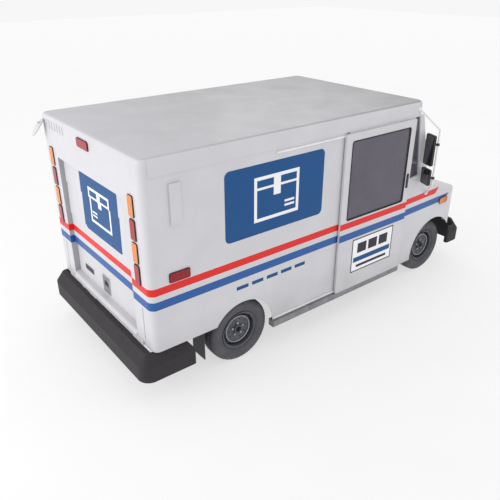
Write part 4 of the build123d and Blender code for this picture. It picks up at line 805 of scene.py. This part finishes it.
# %% Silver the mirror glasses
def silvered_glass():
    finish, tree, shader = start_finish("silvered_mirror_glass", Metallic=1.0, Roughness=0.12)
    coords = add(tree, "ShaderNodeTexCoord")
    film = add(tree, "ShaderNodeTexNoise", {"Vector": coords.outputs["Object"], "Scale": 40.0, "Detail": 4.0})
    colour = blend_colours(tree, film.outputs["Fac"], linear("#5f6065"), linear("#717277"))
    tree.links.new(colour, shader.inputs["Base Color"])
    return finish


mirror_silver = silvered_glass()
HEAD_TURN = math.radians(20)
HEADS = ((1.642, 0.325), (1.355, 0.176))
for side_name, side in (("right", -1), ("left", 1)):
    along = Vector((math.sin(HEAD_TURN), -side * math.cos(HEAD_TURN), 0))
    back = Vector((-math.cos(HEAD_TURN), -side * math.sin(HEAD_TURN), 0))
    for index, (middle_z, tall) in enumerate(HEADS):
        centre = Vector((1.191, side * 1.038, middle_z))

        def on_head(u, v, proud, centre=centre, along=along, back=back):
            return tuple(centre + along * u + back * (0.0112 + proud) + Vector((0, 0, v)))

        loop = rounded_loop(-0.064, 0.064, -tall / 2 + 0.011, tall / 2 - 0.011, 0.012)
        decal(f"mirror_glass_{side_name}_{index}", [loop], on_head, 0.0015, mirror_silver, f"mirror_{side_name}")

# %% [markdown]
# ## The look-down mirror
# A round convex mirror hangs off the left rear corner of the roof on a short arm. Its
# white shell is a shallow dish, and its dark moulded face looks down behind the truck.

# %% Shape the look-down mirror
SHELL_MIDDLE = Vector((-2.146, 0.905, 2.012))
SHELL_ALONG = Vector((-0.105, 0.050, -0.152)).normalized()
SHELL_OUT = Vector((-0.72, 0.21, 0.57))
SHELL_OUT = (SHELL_OUT - SHELL_ALONG * SHELL_OUT.dot(SHELL_ALONG)).normalized()
SHELL_SIDE = SHELL_OUT.cross(SHELL_ALONG)


def dish(name, depth, shrink, finish):
    """An oval dish: a flattened dome of the given depth over the shell's oval rim."""
    points, faces = [tuple(SHELL_MIDDLE + SHELL_OUT * depth)], []
    rings, around = 6, 36
    for ring in range(1, rings + 1):
        angle = math.pi / 2 * ring / rings
        for step in range(around):
            turn = 2 * math.pi * step / around
            along = SHELL_ALONG * (0.100 * shrink * math.cos(turn))
            aside = SHELL_SIDE * (0.062 * shrink * math.sin(turn))
            spot = SHELL_MIDDLE + (along + aside) * math.sin(angle) + SHELL_OUT * depth * math.cos(angle)
            points.append(tuple(spot))
    for step in range(around):
        after = (step + 1) % around
        faces.append((0, 1 + step, 1 + after))
        for ring in range(rings - 1):
            a = 1 + ring * around
            faces.append((a + step, a + around + step, a + around + after, a + after))
    piece = build(name, points, faces, finish, "chassis", smooth=True)
    wall = piece.modifiers.new("wall", "SOLIDIFY")
    wall.thickness = 0.003


dish("lookdown_shell", 0.030, 1.0, coach_enamel)
dish("lookdown_face", 0.008, 0.93, dash_moulding)
print("look-down mirror shaped")

# %% [markdown]
# ## Leaf springs
# Each pack is cut at the axle into two halves, and cross cuts every 40 mm divide
# each half into short lengths.

# %% Cut the springs
AXLE_X = AXLES["rear"][0]
spring_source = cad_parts["leaf_springs"].data
halves = []
for end_name, end in (("rear", -1), ("front", 1)):
    metal = bmesh.new()
    metal.from_mesh(spring_source)
    for step in range(0, 16):
        everything = metal.verts[:] + metal.edges[:] + metal.faces[:]
        spot = (AXLE_X + end * step * 0.04, 0, 0)
        bmesh.ops.bisect_plane(metal, geom=everything, plane_co=spot, plane_no=(end, 0, 0), clear_inner=step == 0)
    mesh = bpy.data.meshes.new(f"spring_leaves_{end_name}")
    metal.to_mesh(mesh)
    metal.free()
    mesh.materials.clear()
    mesh.materials.append(spring_steel)
    piece = bpy.data.objects.new(f"spring_leaves_{end_name}", mesh)
    bpy.context.scene.collection.objects.link(piece)
    halves.append(piece)
for piece, end in zip(halves, (-1, 1)):
    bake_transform(piece)
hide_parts("leaf_springs")
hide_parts("leaf_springs")
print("spring halves", len(halves))

# %% [markdown]
# ## The driver's seat
# The cushion and the backrest are foam under vinyl: crowned, with the sides drawn in
# between the corners and two sewn channels. Cloth under a little pressure swells a
# slightly smaller shape, and the channels are pressed in afterwards.


# %% Sew and fill the pads
def seat_vinyl_finish():
    finish, tree, shader = start_finish("dark_expanded_vinyl", Coat_Weight=0.1)
    coords = add(tree, "ShaderNodeTexCoord")
    # leather grain pebbles 3 mm across, drawn a little coarse so that they show
    pebbles = add(tree, "ShaderNodeTexVoronoi", {"Vector": coords.outputs["Object"], "Scale": 1000 / 3})
    worn = add(tree, "ShaderNodeTexNoise", {"Vector": coords.outputs["Object"], "Scale": 9.0, "Detail": 5.0})
    colour = blend_colours(tree, worn.outputs["Fac"], linear("#2c2c30"), linear("#45454a"))
    tree.links.new(colour, shader.inputs["Base Color"])
    gloss = add(tree, "ShaderNodeMapRange", {"Value": worn.outputs["Fac"], "To Min": 0.42, "To Max": 0.62})
    tree.links.new(gloss.outputs["Result"], shader.inputs["Roughness"])
    bump = add(tree, "ShaderNodeBump", {"Height": pebbles.outputs["Distance"], "Strength": 0.35, "Distance": 0.0006})
    tree.links.new(bump.outputs["Normal"], shader.inputs["Normal"])
    return finish


seat_vinyl = seat_vinyl_finish()
SWELL_CAP = 0.010


def swell(piece):
    """Blow the pad up a little, as foam does, and cap how far a point may go."""
    before = [v.co.copy() for v in piece.data.vertices]
    cloth = piece.modifiers.new("foam", "CLOTH")
    cloth.settings.use_pressure = True
    cloth.settings.uniform_pressure_force = 4.0
    cloth.settings.effector_weights.gravity = 0.0
    cloth.settings.quality = 4
    scene = bpy.context.scene
    for step in range(1, 21):
        scene.frame_set(step)
    view = piece.evaluated_get(bpy.context.evaluated_depsgraph_get())
    after = [v.co.copy() for v in view.data.vertices]
    piece.modifiers.remove(cloth)
    scene.frame_set(1)
    for vertex, old, new in zip(piece.data.vertices, before, after):
        move = new - old
        if move.length > SWELL_CAP:
            move = move.normalized() * SWELL_CAP
        vertex.co = old + move


def pad(name, node, body, thin_axis, channel_axis):
    """A crowned vinyl pad that fills the space of its CAD solid."""
    low, high = (Vector(c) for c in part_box(node))
    if node == "seat_back":
        low.z = high.z - 0.565
    inset = Vector((0.012, 0.012, 0.012))
    points, faces = slab_points(low + inset, high - inset)
    mesh = bpy.data.meshes.new(name)
    mesh.from_pydata(points, [], faces)
    piece = bpy.data.objects.new(name, mesh)
    bpy.context.scene.collection.objects.link(piece)
    bevel = piece.modifiers.new("corners", "BEVEL")
    bevel.width = 0.028
    bevel.segments = 4
    remesh = piece.modifiers.new("even_skin", "REMESH")
    remesh.mode = "VOXEL"
    remesh.voxel_size = 0.009
    settled = bpy.data.meshes.new_from_object(piece.evaluated_get(bpy.context.evaluated_depsgraph_get()))
    piece.modifiers.clear()
    piece.data = settled
    swell(piece)
    middle = (low + high) / 2
    span = high - low
    for vertex in piece.data.vertices:
        place = vertex.co[channel_axis] - middle[channel_axis]
        for channel in (-0.19, 0.19):
            distance = abs(place - channel * span[channel_axis])
            if distance < 0.016:
                depth = 0.008 * math.cos(distance / 0.016 * math.pi / 2)
                vertex.co[thin_axis] -= math.copysign(depth, vertex.co[thin_axis] - middle[thin_axis])
        for axis in range(3):
            vertex.co[axis] = min(max(vertex.co[axis], low[axis]), high[axis])
    for face in piece.data.polygons:
        face.use_smooth = True
    piece.data.materials.clear()
    piece.data.materials.append(seat_vinyl)
    fine = piece.modifiers.new("fine", "SUBSURF")
    fine.levels = fine.render_levels = 1
    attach(piece, body)
    return piece


cushion = pad("vinyl_seat_cushion", "seat_cushion", "seat", 2, 1)
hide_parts("seat_cushion")
backrest = pad("vinyl_backrest", "seat_back", "seat_back", 0, 1)
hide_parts("seat_back")
PLATE_LOW = (0.263, 0.923)
PLATE_HIGH = (0.297, 1.000)
PLATE_WIDE = 0.020
plates = []
for y in (-0.692, -0.288):
    plates.append(((PLATE_LOW[0], y, PLATE_LOW[1]), (PLATE_HIGH[0], y + PLATE_WIDE, PLATE_HIGH[1])))
slabs("backrest_plates", plates, control_enamel, "seat_back")
print("pads sewn")
